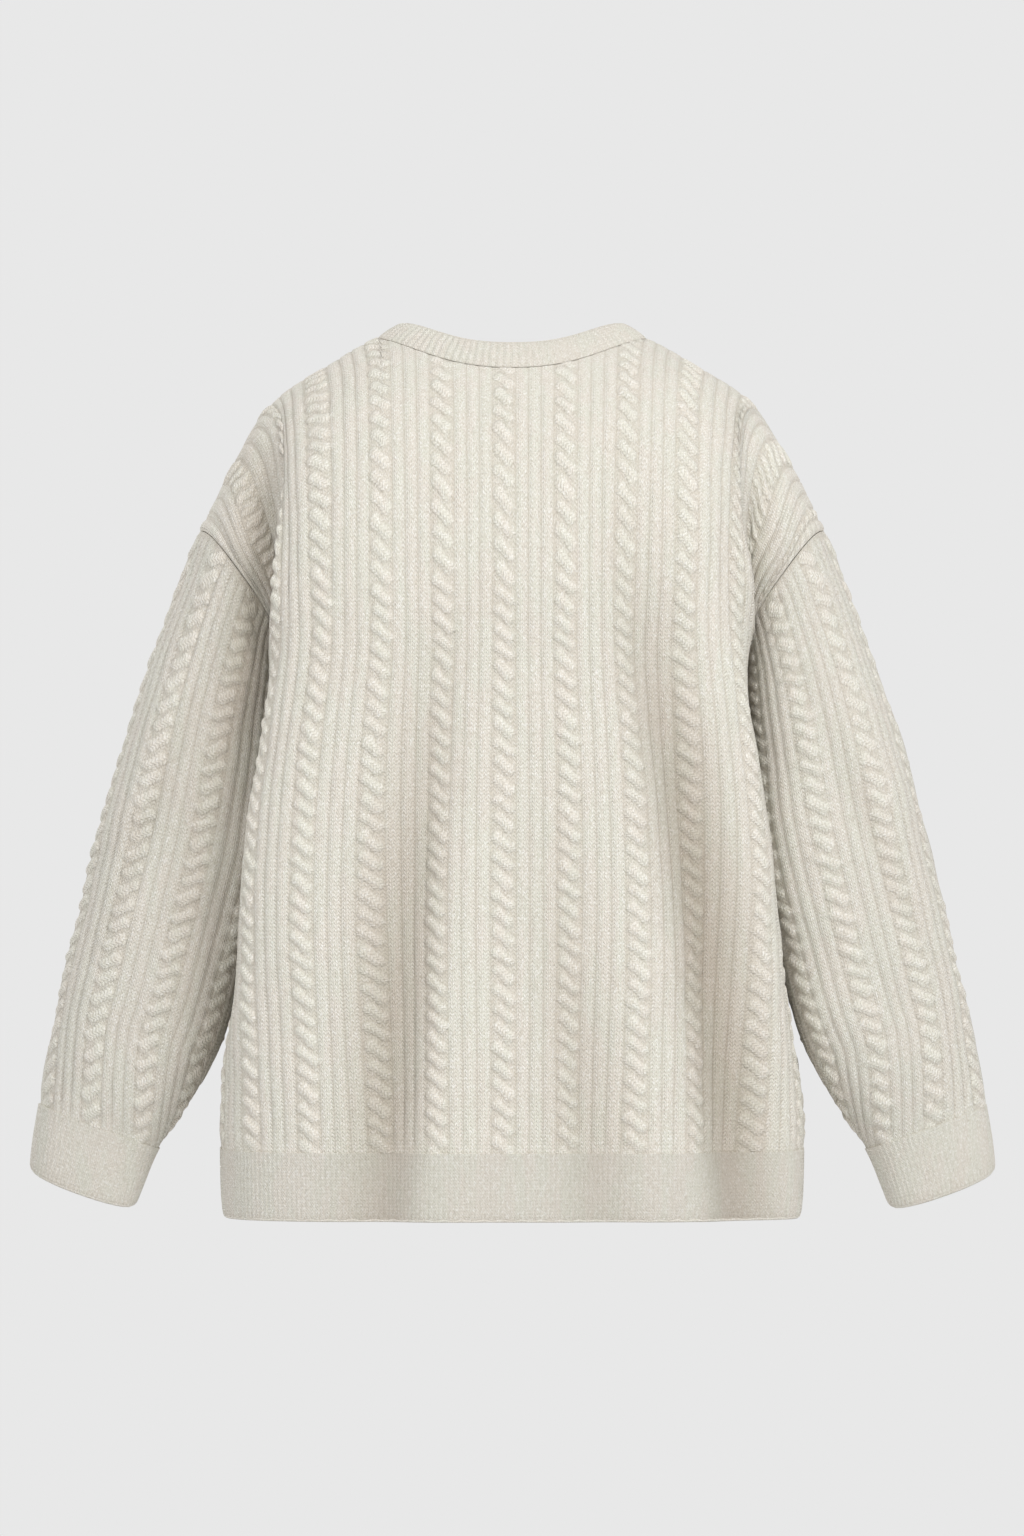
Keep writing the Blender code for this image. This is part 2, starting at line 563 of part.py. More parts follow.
def make_sleeve(name, mirrored, surface, armhole_ring, collection):
    """A sleeve from its armhole ring, whose first point is the underarm. Returns the ring for the cuff."""
    flip = np.array([-1, 1, 1]) if mirrored else np.ones(3)
    wall = Wall()
    length = surface.rows[-2]
    rows = np.array([*SLEEVE_ROWS, length])
    girths = np.minimum.accumulate([half_girth(surface, v) for v in rows])

    def share(w, v):
        """Share of the half girth at a distance w across the knit."""
        return w / np.interp(v, rows, girths)

    def shift(points, shares):
        """Moves the border ring off the panels, and outwards under the arm."""
        top = np.zeros(len(shares))
        down = unit(surface.points(shares, top + 0.006) - surface.points(shares, top))
        under = (1 - np.cos(shares * math.pi)) / 2
        return points + SEAM_GAP * (down + under[:, None] * (1, 0, 0)) / 2

    def raised(w, v, rise):
        """Points over the cloth by the knit's rise."""
        s = np.clip(share(w, v), -1, 1)
        points = surface.points(s, v)
        return points + surface.normals(s, v, 0.003) * (rise * relief_left(points))[:, None]

    def crest(w, v):
        """Points of a cable."""
        return raised(w, v, CABLE_RISE)

    outer_places, inner_places = ring_places(armhole_ring.outer), ring_places(armhole_ring.inner)
    border = wall.row(outer_places, shift(armhole_ring.outer, outer_places) * flip)
    border_in = wall.row(inner_places, shift(armhole_ring.inner, inner_places) * flip)
    wall.stitch(border, border_in, closed=True)

    def on_seam(v):
        """A place on the seam under the arm, with its vertex."""
        point = surface.points(np.array([-1.0]), np.array([v]))[0]
        return v, wall.shape.verts.new(Vector(point * flip))

    knit = knit_columns(-girths[0], girths[0], SLEEVE_CABLE_PLACE, SLEEVE_REPEAT, SLEEVE_KNIT_MARGIN)
    seam_top, seam_end = on_seam(rows[0]), on_seam(length)
    ends = {}
    columns, wales = [], []
    for w, kind in knit:
        end = float(np.interp(-abs(w), -girths, rows))
        v = np.array([r for r in rows if r < end - TAPER_MARGIN] + ([length] if end >= length else []))
        line = list(zip(v, raised(np.full(len(v), w), v, RISE[kind])))
        if kind == "cable":
            middle = cable_line(rows[0], v[-1] if end >= length else end - TAPER_MARGIN, -1)
            if middle:
                mv, mu = (np.array([m[k] for m in middle]) for k in range(2))
                tail = [line[-1]] if end >= length else []
                line = [line[0], *zip(mv, straight(crest, w + mu, mv, rows)), *tail]
        made = [(r, wall.shape.verts.new(Vector(point * flip))) for r, point in line]
        if end < length:
            key = round(abs(w), 6)
            if key not in ends:
                ends[key] = on_seam(end)
            made.append(ends[key])
        columns.append(made)
        wales.append((w, end >= length))
    strip = [[seam_top], *columns, [seam_top]]
    full = [False, *(whole for _, whole in wales), False]
    for k in range(len(strip) - 1):
        first, second = list(strip[k]), list(strip[k + 1])
        if not full[k] and not full[k + 1]:
            shorter, longer = (first, second) if first[-1][0] < second[-1][0] else (second, first)
            shorter.append(longer[-1])
        elif full[k] != full[k + 1]:
            (second if full[k] else first).append(seam_end)
        wall.stitch(first, second)
    first_row, last = [(-1.0, seam_top[1])], [(-1.0, seam_end[1])]
    for (w, whole), column in zip(wales, columns):
        first_row.append((share(w, rows[0]), column[0][1]))
        if whole:
            last.append((share(w, length), column[-1][1]))
    wall.stitch(border, first_row, closed=True)

    lining_shares = np.linspace(-1, 1, TUBE_COLUMNS + 1)[:-1]
    lining = []
    for v in rows:
        vs = np.full(TUBE_COLUMNS, v)
        sunk = surface.points(lining_shares, vs) - surface.normals(lining_shares, vs, 0.003) * WALL
        lining.append(wall.row(lining_shares, sunk * flip))
    wall.stitch(border_in, lining[0], closed=True)
    for near, far in zip(lining, lining[1:]):
        wall.stitch(near, far, closed=True)
    wall.stitch(last, lining[-1], closed=True)
    outer = np.array([vertex.co for _, vertex in last])
    inner = np.array([vertex.co for _, vertex in lining[-1]])
    places = [p for p, _ in last]
    wall.finish(name, WOOL_SLEEVE, collection)
    return places, outer, lining_shares, inner


def make_cuff(name, mirrored, surface, top_ring, collection):
    """Ribbed cuff below a sleeve, with its open end."""
    flip = np.array([-1, 1, 1]) if mirrored else np.ones(3)
    wall = Wall()
    places, outer, lining_shares, inner = top_ring
    start, end = surface.rows[-2], surface.rows[-1]
    down = np.diff(surface.points(np.zeros(2), np.array([start, end])), axis=0)[0] * flip
    gap = unit(down) * SEAM_GAP
    rows = [wall.row(places, outer + gap)]
    shares = np.linspace(-1, 1, TUBE_COLUMNS + 1)[:-1]
    for part in (*CUFF_ROWS, 1.0):
        vs = np.full(TUBE_COLUMNS, start + part * (end - start))
        points, normals = surface.points(shares, vs), surface.normals(shares, vs, 0.003)
        sink = WALL / 2 if part == 1.0 else 0.0
        rows.append(wall.row(shares, (points - normals * sink) * flip))
    for part in CUFF_ROWS[:0:-1]:
        vs = np.full(TUBE_COLUMNS, start + part * (end - start))
        points, normals = surface.points(shares, vs), surface.normals(shares, vs, 0.003)
        rows.append(wall.row(shares, (points - normals * WALL) * flip))
    rows.append(wall.row(lining_shares, inner + gap))
    for first, second in zip(rows, [*rows[1:], rows[0]]):
        wall.stitch(first, second, closed=True)
    wall.finish(name, WOOL_SLEEVE, collection)


def make_hem(name, surfaces, ring, collection):
    """Ribbed band round the hem, with its open end."""
    wall = Wall()
    gap = SEAM_GAP / 2

    def level(v, sink):
        """A ring round the whole body at v, over the back and on over the front."""
        rows = []
        for face in (1, -1):
            us = face * lining_wales()[:-1]
            vs = np.full(len(us), v)
            points = surfaces[face].points(us, vs) - surfaces[face].normals(us, vs) * sink
            places = (us / PANEL_HALF_WIDTH - 1) / 2 if face == 1 else (1 - us / PANEL_HALF_WIDTH) / 2
            rows += wall.row(places, points)
        return rows

    rows = [wall.row(ring.at_outer, ring.outer + ring.off_outer * gap)]
    rows += [level(v, 0.0) for v in HEM_ROWS]
    rows.append(level(0.0, WALL / 2))
    rows += [level(v, WALL) for v in HEM_ROWS[::-1]]
    rows.append(wall.row(ring.at_inner, ring.inner + ring.off_inner * gap))
    for first, second in zip(rows, [*rows[1:], rows[0]]):
        wall.stitch(first, second, closed=True)
    wall.finish(name, WOOL, collection)


def make_neckband(name, ring, collection):
    """Ribbed band that stands up round the neck and leans in over it."""
    wall = Wall()
    gap = 2 * SEAM_GAP
    closed = np.concatenate([ring.outer, ring.outer[:1]])
    middle = closed.mean(axis=0)
    length = along(closed)
    count = round(length[-1] / NECK_RIB_PITCH)

    def band_row(shares, rise, up):
        """Row of the band at shares of the seam's length, with the seam's own places for stitching."""
        at = np.interp(shares * length[-1], length, [*ring.at_outer, 1.0])
        return wall.row(at, band(shares, rise, up))

    def band(shares, rise, up):
        """Points of the band at a height up it and a rise over its cloth."""
        base = by_length(closed, shares)
        outward = base - middle
        turn = np.arctan2(outward[:, 1], outward[:, 0])
        sideways = np.cos(turn) ** 2
        middle_lean = np.where(outward[:, 1] > 0, NECKBAND_LEAN["back"], NECKBAND_LEAN["front"])
        lean = NECKBAND_LEAN["side"] * sideways + middle_lean * (1 - sideways)
        inward = -unit(outward * (1, 1, 0))
        rising = inward * lean[:, None] + np.array([0, 0, 1]) * np.sqrt(1 - lean**2)[:, None]
        out = -inward * np.sqrt(1 - lean**2)[:, None] + np.array([0, 0, 1]) * lean[:, None]
        return base + rising * up + out * np.asarray(rise)[:, None]

    ribs = np.linspace(0, 1, 2 * count + 1)[:-1]
    plain = np.linspace(0, 1, 3 * TUBE_COLUMNS + 1)[:-1]
    crest = np.where(np.arange(len(ribs)) % 2, NECK_RIB_RISE, 0.0)
    level = np.ones(len(plain))
    rows = [wall.row(ring.at_outer, ring.outer + ring.off_outer * gap)]
    rows.append(band_row(ribs, crest + 0.0006, 0.003))
    rows.append(band_row(ribs, crest + 0.0004, NECKBAND_HEIGHT - 0.0015))
    rows.append(band_row(plain, -level * WALL / 2, NECKBAND_HEIGHT))
    rows.append(band_row(plain, -level * WALL, NECKBAND_HEIGHT - 0.002))
    rows.append(wall.row(ring.at_inner, ring.inner + ring.off_inner * gap))
    for first, second in zip(rows, [*rows[1:], rows[0]]):
        wall.stitch(first, second, closed=True)
    wall.finish(name, WOOL, collection)


def main():
    """Clears the scene and builds the eight pieces."""
    for obj in list(bpy.data.objects):
        bpy.data.objects.remove(obj, do_unlink=True)
    collection = bpy.data.collections.new("cable_knit_sweater")
    bpy.context.scene.collection.children.link(collection)
    sleeves = {side: sleeve_surface(side) for side in (1, -1)}
    hems, necks, arms = {}, {}, {}
    for name, face in (("back", 1), ("front", -1)):
        hems[face], necks[face], arms[face] = make_panel(name, face, sleeves[1], collection)
    arm_ring = arms[-1].around(arms[1])
    for name, side in (("left", 1), ("right", -1)):
        top_ring = make_sleeve(f"sleeve_{name}", side < 0, sleeves[side], arm_ring, collection)
        make_cuff(f"cuff_{name}", side < 0, sleeves[side], top_ring, collection)
    make_neckband("neckband", necks[1].around(necks[-1]), collection)
    make_hem("hem_rib", {face: panel_surface(face) for face in (1, -1)}, hems[1].around(hems[-1]), collection)


main()
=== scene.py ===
"""Crew-neck cable knit sweater in heathered cream wool, hollow, in the form that it has when worn.

Metres, +Z up. The wearer faces -Y, so +Y is the back and +X the wearer's left, and the origin lies
between the two neck points. Cloth is laid out by u, the distance across the knit, and v, the distance
up it from the hem's lower edge (on a sleeve, down it from the armhole). Every piece is a thin shell: a
finely knitted outside, a plain inside and the edges between them.
"""

import logging
import math
from collections.abc import Callable
from dataclasses import dataclass, field
from enum import Enum

import bpy
import numpy as np
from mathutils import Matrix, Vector


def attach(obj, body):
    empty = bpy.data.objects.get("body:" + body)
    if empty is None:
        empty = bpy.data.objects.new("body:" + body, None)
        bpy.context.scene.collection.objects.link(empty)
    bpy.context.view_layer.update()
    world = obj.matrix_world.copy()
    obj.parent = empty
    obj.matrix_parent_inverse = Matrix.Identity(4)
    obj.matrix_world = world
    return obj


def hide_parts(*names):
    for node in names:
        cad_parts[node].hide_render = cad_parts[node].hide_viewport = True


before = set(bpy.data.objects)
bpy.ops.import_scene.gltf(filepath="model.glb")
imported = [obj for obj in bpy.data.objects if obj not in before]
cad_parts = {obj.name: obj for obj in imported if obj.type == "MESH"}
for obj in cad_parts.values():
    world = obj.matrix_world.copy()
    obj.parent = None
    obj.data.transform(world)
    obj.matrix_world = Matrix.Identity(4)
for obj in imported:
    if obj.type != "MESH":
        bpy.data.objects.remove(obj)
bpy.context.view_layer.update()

log = logging.getLogger("sweater")

Array = np.ndarray
Colour = tuple[float, float, float]
Area = tuple[float, float, float, float]
# The numbers of a line of vertices and their rising places.
Line = tuple[Array, Array]

# Parts of the bake map, as low x, low y, high x and high y.
KNIT_AREA = (0.0, 0.0, 0.78, 1.0)
KNIT_LINING_AREA = (0.80, 0.0, 0.98, 1.0)
RIB_AREA = (0.0, 0.0, 0.98, 0.55)
RIB_LINING_AREA = (0.0, 0.60, 0.98, 0.90)
RIB_EDGE_AREA = (0.0, 0.91, 0.98, 0.94)
RIB_SEAM_AREA = (0.0, 0.95, 0.98, 0.98)
# Strips of the bake map beside a knit piece, as low and high x, and the two halves of one, as low and high y.
END_STRIP = (0.982, 0.988)
SIDE_STRIP = (0.991, 0.997)
SLEEVE_STRIP = (0.984, 0.996)
STRIP_HALVES = ((0.0, 0.48), (0.5, 0.98))
# Stitches along and across such a strip.
STRIP_STITCHES = (80, 1)
# Strand place of cloth that is on no cable.
OFF_STRANDS = 9.0
# Points along half a ring of the torso, a ring of a sleeve, a sleeve's girth and the neck seam.
TORSO_POINTS = 300
SLEEVE_POINTS = 721
GIRTH_POINTS = 97
NECK_POINTS = 361
# What lies this close to a border is on it.
ON_BORDER = 1e-6
# A step to either side of a column of points, to tell which strands it lies between.
NUDGE = 1e-5
# The relief that a lining shows, and how far into the wall the rows of a band's lining lie, from its edge.
LINING_RELIEF = 0.6
LINING_SINKS = (0.1, 0.5, 0.9, 1.0, 1.0, 1.0, 1.0)
# Step for the normals of a sleeve, whose places across it are shares and not metres.
SLEEVE_STEP = 0.003
# A crease of this depth lies in full shade, and this power makes its ends blunt.
SHADED_DEPTH = 0.012
CREASE_BLUNTNESS = 0.8
# Length over which a hanging trough fades out, then half width and length of its shade, and what is left of
# that shade at the hem's edge, with the heights between which it comes back.
TROUGH_FADE = 0.30
GLOOM_HALF_WIDTH = 0.052
GLOOM_FADE = 0.36
GLOOM_AT_EDGE = 0.78
GLOOM_BACK = (0.02, 0.10)


class Face(Enum):
    """The two panels of the body."""

    BACK = 1
    FRONT = -1


class Side(Enum):
    """The wearer's two sides, by the sign of X."""

    LEFT = 1
    RIGHT = -1


@dataclass(frozen=True)
class Cut:
    """Sizes that the pieces share where they are sewn together."""

    half_width: float = 0.300
    hem_height: float = 0.053
    underarm_height: float = 0.442
    blade_height: float = 0.490
    yoke_length: float = 0.240
    crown_height: float = 0.690
    neck_point_height: float = 0.684
    neck_half_width: float = 0.105
    back_neck_drop: float = 0.088
    front_neck_drop: float = 0.140
    side_seam_y: float = -0.005
    underarm_x: float = 0.176
    armhole_half_depth: float = 0.066
    armhole_lift: float = 0.012
    wall: float = 0.0024
    seam_gap: float = 0.0004

    @property
    def top(self) -> float:
        """Cloth distance from the hem's edge to the shoulder seam."""
        return self.blade_height + self.yoke_length

    def neck_drop(self, face: Face) -> float:
        """How far the neckline dips below the shoulder seam, along the cloth."""
        return self.back_neck_drop if face is Face.BACK else self.front_neck_drop

    def neckline(self, face: Face, u: Array) -> Array:
        """Where a wale is cut off: by the neck, or further out by the shoulder seam.

        Args:
            face: The panel.
            u: Places across it.

        Returns:
            v at each place.
        """
        inside = np.clip(1 - (np.abs(u) / self.neck_half_width) ** 2, 0, 1) ** 0.5
        return self.top - self.neck_drop(face) * inside


CUT = Cut()

# Rings of the torso: height, half width, half depth, squareness, and the dent that the arm makes in the side.
TORSO_RINGS = (
    (0.000, 0.2245, 0.113, 3.7, 0.000),
    (0.110, 0.2265, 0.117, 3.7, 0.005),
    (0.220, 0.2320, 0.119, 4.0, 0.0410),
    (0.330, 0.2240, 0.120, 4.1, 0.0555),
    (0.400, 0.2100, 0.120, 4.0, 0.0480),
    (CUT.underarm_height, 0.2020, 0.120, 3.8, 0.0260),
)
# The torso's outline from behind: heights and half widths.
EDGE_HEIGHTS = (0.090, 0.168, 0.246, 0.324, 0.402, 0.480, 0.597)
EDGE_HALF_WIDTHS = (0.2265, 0.222, 0.2165, 0.207, 0.195, 0.185, 0.1775)
DENT_Y = {Side.LEFT: -0.011, Side.RIGHT: 0.000}
DENT_HALF_WIDTH = 0.128

# Line over the shoulder and down the upper arm, from the neck point to the armhole: x and height.
SHOULDER_LINE = (
    (CUT.neck_half_width, CUT.neck_point_height),
    (0.146, 0.6605),
    (0.1815, 0.6375),
    (0.1998, 0.6145),
    (0.219, 0.5800),
    (0.243, 0.5330),
)

# Control wales and turns of half a panel. Each fold wale lists x, depth and height for the yoke rows.
WALES = (0.0, 0.05, 0.10, 0.15, 0.187, 0.217, 0.243, 0.270, CUT.half_width)
YOKE_TURNS = (90.0, 68.0, 45.0, 22.0, 0.0)
ARMHOLE_TURNS = (150.0, 118.0, 82.0, 41.0, 0.0)
FOLD_WALES = {
    0.217: ((0.186, 0.086, 0.480), (0.180, 0.077, 0.535), (0.178, 0.064, 0.586), (0.188, 0.038, 0.621)),
    0.243: ((0.185, 0.059, 0.466), (0.182, 0.053, 0.514), (0.191, 0.054, 0.558), (0.205, 0.036, 0.592)),
    0.270: ((0.181, 0.046, 0.456), (0.190, 0.058, 0.491), (0.208, 0.063, 0.527), (0.221, 0.038, 0.563)),
}

# Sleeve rings: the outer and inner edge as x and height, half depth, forward set and squareness.
SLEEVE_RINGS = (
    ((0.2640, 0.478), (0.1820, 0.411), 0.067, -0.006, 2.2),
    ((0.2900, 0.402), (0.1850, 0.366), 0.066, -0.008, 2.6),
    ((0.3130, 0.324), (0.1905, 0.289), 0.063, -0.010, 2.9),
    ((0.3330, 0.246), (0.2080, 0.207), 0.059, -0.014, 2.9),
    ((0.3500, 0.178), (0.2290, 0.133), 0.054, -0.018, 2.7),
    ((0.3630, 0.118), (0.2595, 0.079), 0.046, -0.022, 2.3),
    ((0.3690, 0.086), (0.2770, 0.052), 0.038, -0.024, 2.3),
)
CUFF_END = ((0.3775, 0.036), (0.2945, 0.007), 0.033, -0.026, 2.3)
CUFF_SAG = 0.006
SET_BACK = {Side.LEFT: 0.0, Side.RIGHT: 0.016}
SWELL_SEEDS = {Side.LEFT: 2.6, Side.RIGHT: 4.9}


@dataclass(frozen=True)
class Drape:
    """A soft hanging trough down a panel, or a ridge where its depth is negative.

    It starts from u at the hem, leans by so much of the way up, and has faded out at high.
    """

    face: Face
    u: float
    lean: float
    high: float
    half_width: float
    depth: float
    shade: float = 0.0

    def sink(self, u: Array, v: Array) -> Array:
        """How far the trough takes the cloth inwards."""
        across = (u - self.u - self.lean * v) / self.half_width
        return self.depth * hump(across) * ease(self.high, self.high - TROUGH_FADE, v)

    def gloom(self, u: Array, v: Array) -> Array:
        """How much of the light is lost in the trough, from 0 to 1, over a softer and wider band."""
        across = (u - self.u - self.lean * v) / GLOOM_HALF_WIDTH
        fall = ease(self.high, self.high - GLOOM_FADE, v) * at_least(GLOOM_AT_EDGE, ease(*GLOOM_BACK, v))
        return self.shade * hump(across) * fall


DRAPES = (
    Drape(Face.BACK, 0.107, -0.100, 0.52, 0.040, 0.0095, 0.80),
    Drape(Face.BACK, 0.050, -0.060, 0.46, 0.034, -0.0030),
    Drape(Face.BACK, -0.071, 0.135, 0.40, 0.034, 0.0045, 0.42),
    Drape(Face.BACK, -0.112, 0.105, 0.42, 0.028, -0.0025),
    Drape(Face.BACK, -0.186, 0.155, 0.60, 0.044, 0.0115, 1.00),
    Drape(Face.BACK, -0.236, 0.140, 0.56, 0.028, -0.0020),
    Drape(Face.FRONT, 0.150, -0.070, 0.56, 0.040, 0.0095, 0.80),
    Drape(Face.FRONT, 0.082, -0.040, 0.46, 0.034, -0.0030),
    Drape(Face.FRONT, 0.034, -0.050, 0.40, 0.034, 0.0045, 0.42),
    Drape(Face.FRONT, -0.118, 0.060, 0.58, 0.042, 0.0105, 0.90),
    Drape(Face.FRONT, -0.186, 0.060, 0.50, 0.030, -0.0030),
)


@dataclass(frozen=True)
class Crease:
    """A crease laid on the cloth between two places; a negative depth makes a ridge."""

    start: tuple[float, float]
    end: tuple[float, float]
    half_width: float
    depth: float

    def sink(self, u: Array, v: Array) -> Array:
        """How far the crease takes the cloth inwards.

        Args:
            u: Places across the cloth.
            v: Places along it.

        Returns:
            Depth at each place, in metres.
        """
        run = np.subtract(self.end, self.start)
        length = float(np.hypot(*run))
        along_it = ((u - self.start[0]) * run[0] + (v - self.start[1]) * run[1]) / length**2
        beside = ((u - self.start[0]) * run[1] - (v - self.start[1]) * run[0]) / length
        ends = np.sin(math.pi * np.clip(along_it, 0, 1)) ** CREASE_BLUNTNESS
        return self.depth * hump(beside / self.half_width) * ends


def crease_sink(creases: tuple[Crease, ...], u: Array, v: Array) -> Array:
    """How far the creases together take the cloth inwards."""
    return sum((crease.sink(u, v) for crease in creases), np.zeros(np.shape(u)))


def crease_shade(creases: tuple[Crease, ...], u: Array, v: Array) -> Array:
    """How much of the light is lost in the creases."""
    return sum((np.maximum(crease.sink(u, v), 0) for crease in creases), np.zeros(np.shape(u))) / SHADED_DEPTH


def spline_weights(knots: Array, places: Array) -> Array:
    """Weights that turn values at the knots into values of a natural cubic spline at the places.

    Args:
        knots: Rising knots.
        places: Where the spline is wanted.

    Returns:
        One row of weights for each place.
    """
    knots, places = np.asarray(knots, float), np.atleast_1d(np.asarray(places, float))
    count, gap = len(knots), np.diff(knots)
    system, right = np.eye(count), np.zeros((count, count))
    for k in range(1, count - 1):
        system[k, k - 1 : k + 2] = gap[k - 1], 2 * (gap[k - 1] + gap[k]), gap[k]
        right[k, k - 1 : k + 2] = 6 / gap[k - 1], -6 / gap[k - 1] - 6 / gap[k], 6 / gap[k]
    bend = np.linalg.solve(system, right)
    i = np.clip(np.searchsorted(knots, places) - 1, 0, count - 2)
    before = (knots[i + 1] - places) / gap[i]
    after = 1 - before
    held = np.eye(count)
    straight = before[:, None] * held[i] + after[:, None] * held[i + 1]
    curved = (before**3 - before)[:, None] * bend[i] + (after**3 - after)[:, None] * bend[i + 1]
    return straight + curved * (gap[i] ** 2)[:, None] / 6


def ease(low: float, high: float, value: Array) -> Array:
    """Smooth step from 0 at low to 1 at high."""
    share = np.clip((np.asarray(value, float) - low) / (high - low), 0, 1)
    return share * share * (3 - 2 * share)


def at_least(least: float, share: Array) -> Array:
    """A share brought from the range 0 to 1 into the range least to 1."""
    return least + (1 - least) * share


def hump(away: Array) -> Array:
    """Smooth hump from 1 at 0 down to 0 at 1, on either side."""
    return (1 + np.cos(math.pi * np.clip(away, -1, 1))) / 2


def along(points: Array) -> Array:
    """Distance of each point along its line."""
    return np.concatenate([[0.0], np.cumsum(np.linalg.norm(np.diff(points, axis=0), axis=1))])


def unit(vectors: Array) -> Array:
    """The vectors at length one."""
    return vectors / np.linalg.norm(vectors, axis=-1, keepdims=True)


def by_length(line: Array, shares: Array) -> Array:
    """Points of a line at shares of its length."""
    line = np.asarray(line, float)
    length = along(line)
    places = np.asarray(shares) * length[-1]
    return np.stack([np.interp(places, length, column) for column in line.T], 1)


def superellipse(half_width: float, half_depth: float, squareness: float, turns: Array) -> Array:
    """Points of a superellipse, turned from the side (0) towards the back (a quarter turn)."""
    c, s = np.cos(turns), np.sin(turns)
    power = 2 / squareness
    x = half_width * np.sign(c) * np.abs(c) ** power
    y = half_depth * np.sign(s) * np.abs(s) ** power
    return np.stack([x, y], 1)


def shoulder_point(u: float) -> tuple[float, float]:
    """Where a wale ends: on the shoulder line or, nearer the middle, on the crown that the neck is cut from.

    Args:
        u: Distance from the middle.

    Returns:
        x and height.
    """
    if u <= CUT.neck_half_width:
        fall = (CUT.crown_height - CUT.neck_point_height) * (u / CUT.neck_half_width) ** 2
        return u, CUT.crown_height - fall
    line = np.asarray(SHOULDER_LINE)
    share = (u - CUT.neck_half_width) / (CUT.half_width - CUT.neck_half_width)
    return tuple((spline_weights(along(line), np.array([share * along(line)[-1]])) @ line)[0])


def armhole(turns: Array | float) -> Array:
    """The left armhole seam: turn 0 is on the shoulder line, pi at the underarm, positive over the back."""
    turns = np.asarray(turns, float)
    up, down = (1 + np.cos(turns)) / 2, (1 - np.cos(turns)) / 2
    top_x, top_z = SHOULDER_LINE[-1]
    return np.stack(
        [
            top_x * up + CUT.underarm_x * down,
            CUT.side_seam_y * down + CUT.armhole_half_depth * np.sin(turns),
            top_z * up + CUT.underarm_height * down + CUT.armhole_lift * np.abs(np.sin(turns)),
        ],
        -1,
    )


@dataclass
class Surface:
    """Smooth surface through a net of control points, one row for each v and one column for each u."""

    net: Array
    rows: Array
    columns: Array
    facing: int = 1
    moved: Callable[[Array, Array, Array], Array] | None = None

    def points(self, u: Array, v: Array) -> Array:
        """Points of the surface.

        Args:
            u: Places across, of any shape.
            v: Places along, of the same shape.

        Returns:
            Points, with one more axis than u.
        """
        u, v = np.broadcast_arrays(np.asarray(u, float), np.asarray(v, float))
        across = spline_weights(self.columns, u.ravel())
        up = spline_weights(self.rows, v.ravel())
        rows = (up @ self.net.reshape(len(self.rows), -1)).reshape(len(up), len(self.columns), 3)
        found = np.einsum("ic,icx->ix", across, rows)
        if self.moved is not None:
            found = self.moved(u.ravel(), v.ravel(), found)
        return found.reshape(*u.shape, 3)

    def normals(self, u: Array, v: Array, step: float = 0.002) -> Array:
        """Unit normals that point out of the garment."""
        du = self.points(u + step, v) - self.points(u - step, v)
        dv = self.points(u, v + step) - self.points(u, v - step)
        return self.facing * unit(np.cross(dv, du))

    def raised(self, u: Array, v: Array, rise: Array, step: float = 0.002) -> Array:
        """Points at a height over the surface."""
        return self.points(u, v) + self.normals(u, v, step) * rise[..., None]


def panel_surface(face: Face) -> Surface:
    """Back or front of the body, over u from side seam to side seam.

    Args:
        face: The panel.

    Returns:
        Its surface, with the hanging troughs in it.
    """
    rows = [ring[0] for ring in TORSO_RINGS] + [CUT.top - CUT.yoke_length * turn / 90 for turn in YOKE_TURNS]

    def half(side: int, flank: Side) -> list[Array]:
        """Control rows of half a panel, as if on the wearer's left, with one flank's dent."""
        net = []
        for height, half_width, half_depth, squareness, dent in TORSO_RINGS:
            ring = superellipse(half_width, half_depth, squareness, np.linspace(math.pi / 2, 0, TORSO_POINTS))
            shares = np.array(WALES) / CUT.half_width
            x, y = by_length(ring, shares).T
            y = CUT.side_seam_y * ease(0, 1, shares) + side * y
            x = x - dent * hump((y - DENT_Y[flank]) / DENT_HALF_WIDTH)
            net.append(np.stack([x, y, np.full(len(x), height)], 1))
        net[-1][-1] = armhole(math.pi)
        under = net[-1]
        for k, turn in enumerate(YOKE_TURNS):
            row = []
            for c, u in enumerate(WALES):
                top_x, top_z = shoulder_point(u)
                if u == CUT.half_width:
                    point = tuple(armhole(side * math.radians(ARMHOLE_TURNS[k])))
                elif u in FOLD_WALES and turn:
                    x, depth, z = FOLD_WALES[u][k]
                    point = (x, side * depth, z)
                else:
                    s, c_turn = math.sin(math.radians(turn)), math.cos(math.radians(turn))
                    z = CUT.blade_height + (top_z - CUT.blade_height) * c_turn
                    point = (top_x + (under[c][0] - top_x) * s, under[c][1] * s, z)
                row.append(point)
            net.append(np.array(row))
        return net

    left, right = (
        np.array(half(face.value, flank) + half(-face.value, flank)[-2:-4:-1])
        for flank in (Side.LEFT, Side.RIGHT)
    )
    net = np.concatenate([right[:, :0:-1] * (-1, 1, 1), left], axis=1)
    wales = np.concatenate([-np.array(WALES)[:0:-1], WALES])
    rows += [2 * CUT.top - row for row in rows[-2:-4:-1]]
    folds = [drape for drape in DRAPES if drape.face is face]

    def hang(u: Array, v: Array, found: Array) -> Array:
        """The surface's points with the hanging troughs pressed in."""
        inward = sum(fold_shade.sink(u, v) for fold_shade in folds)
        return found - unit(found * (1, 1, 0)) * inward[:, None]

    return Surface(net, np.array(rows), wales, face.value, hang)


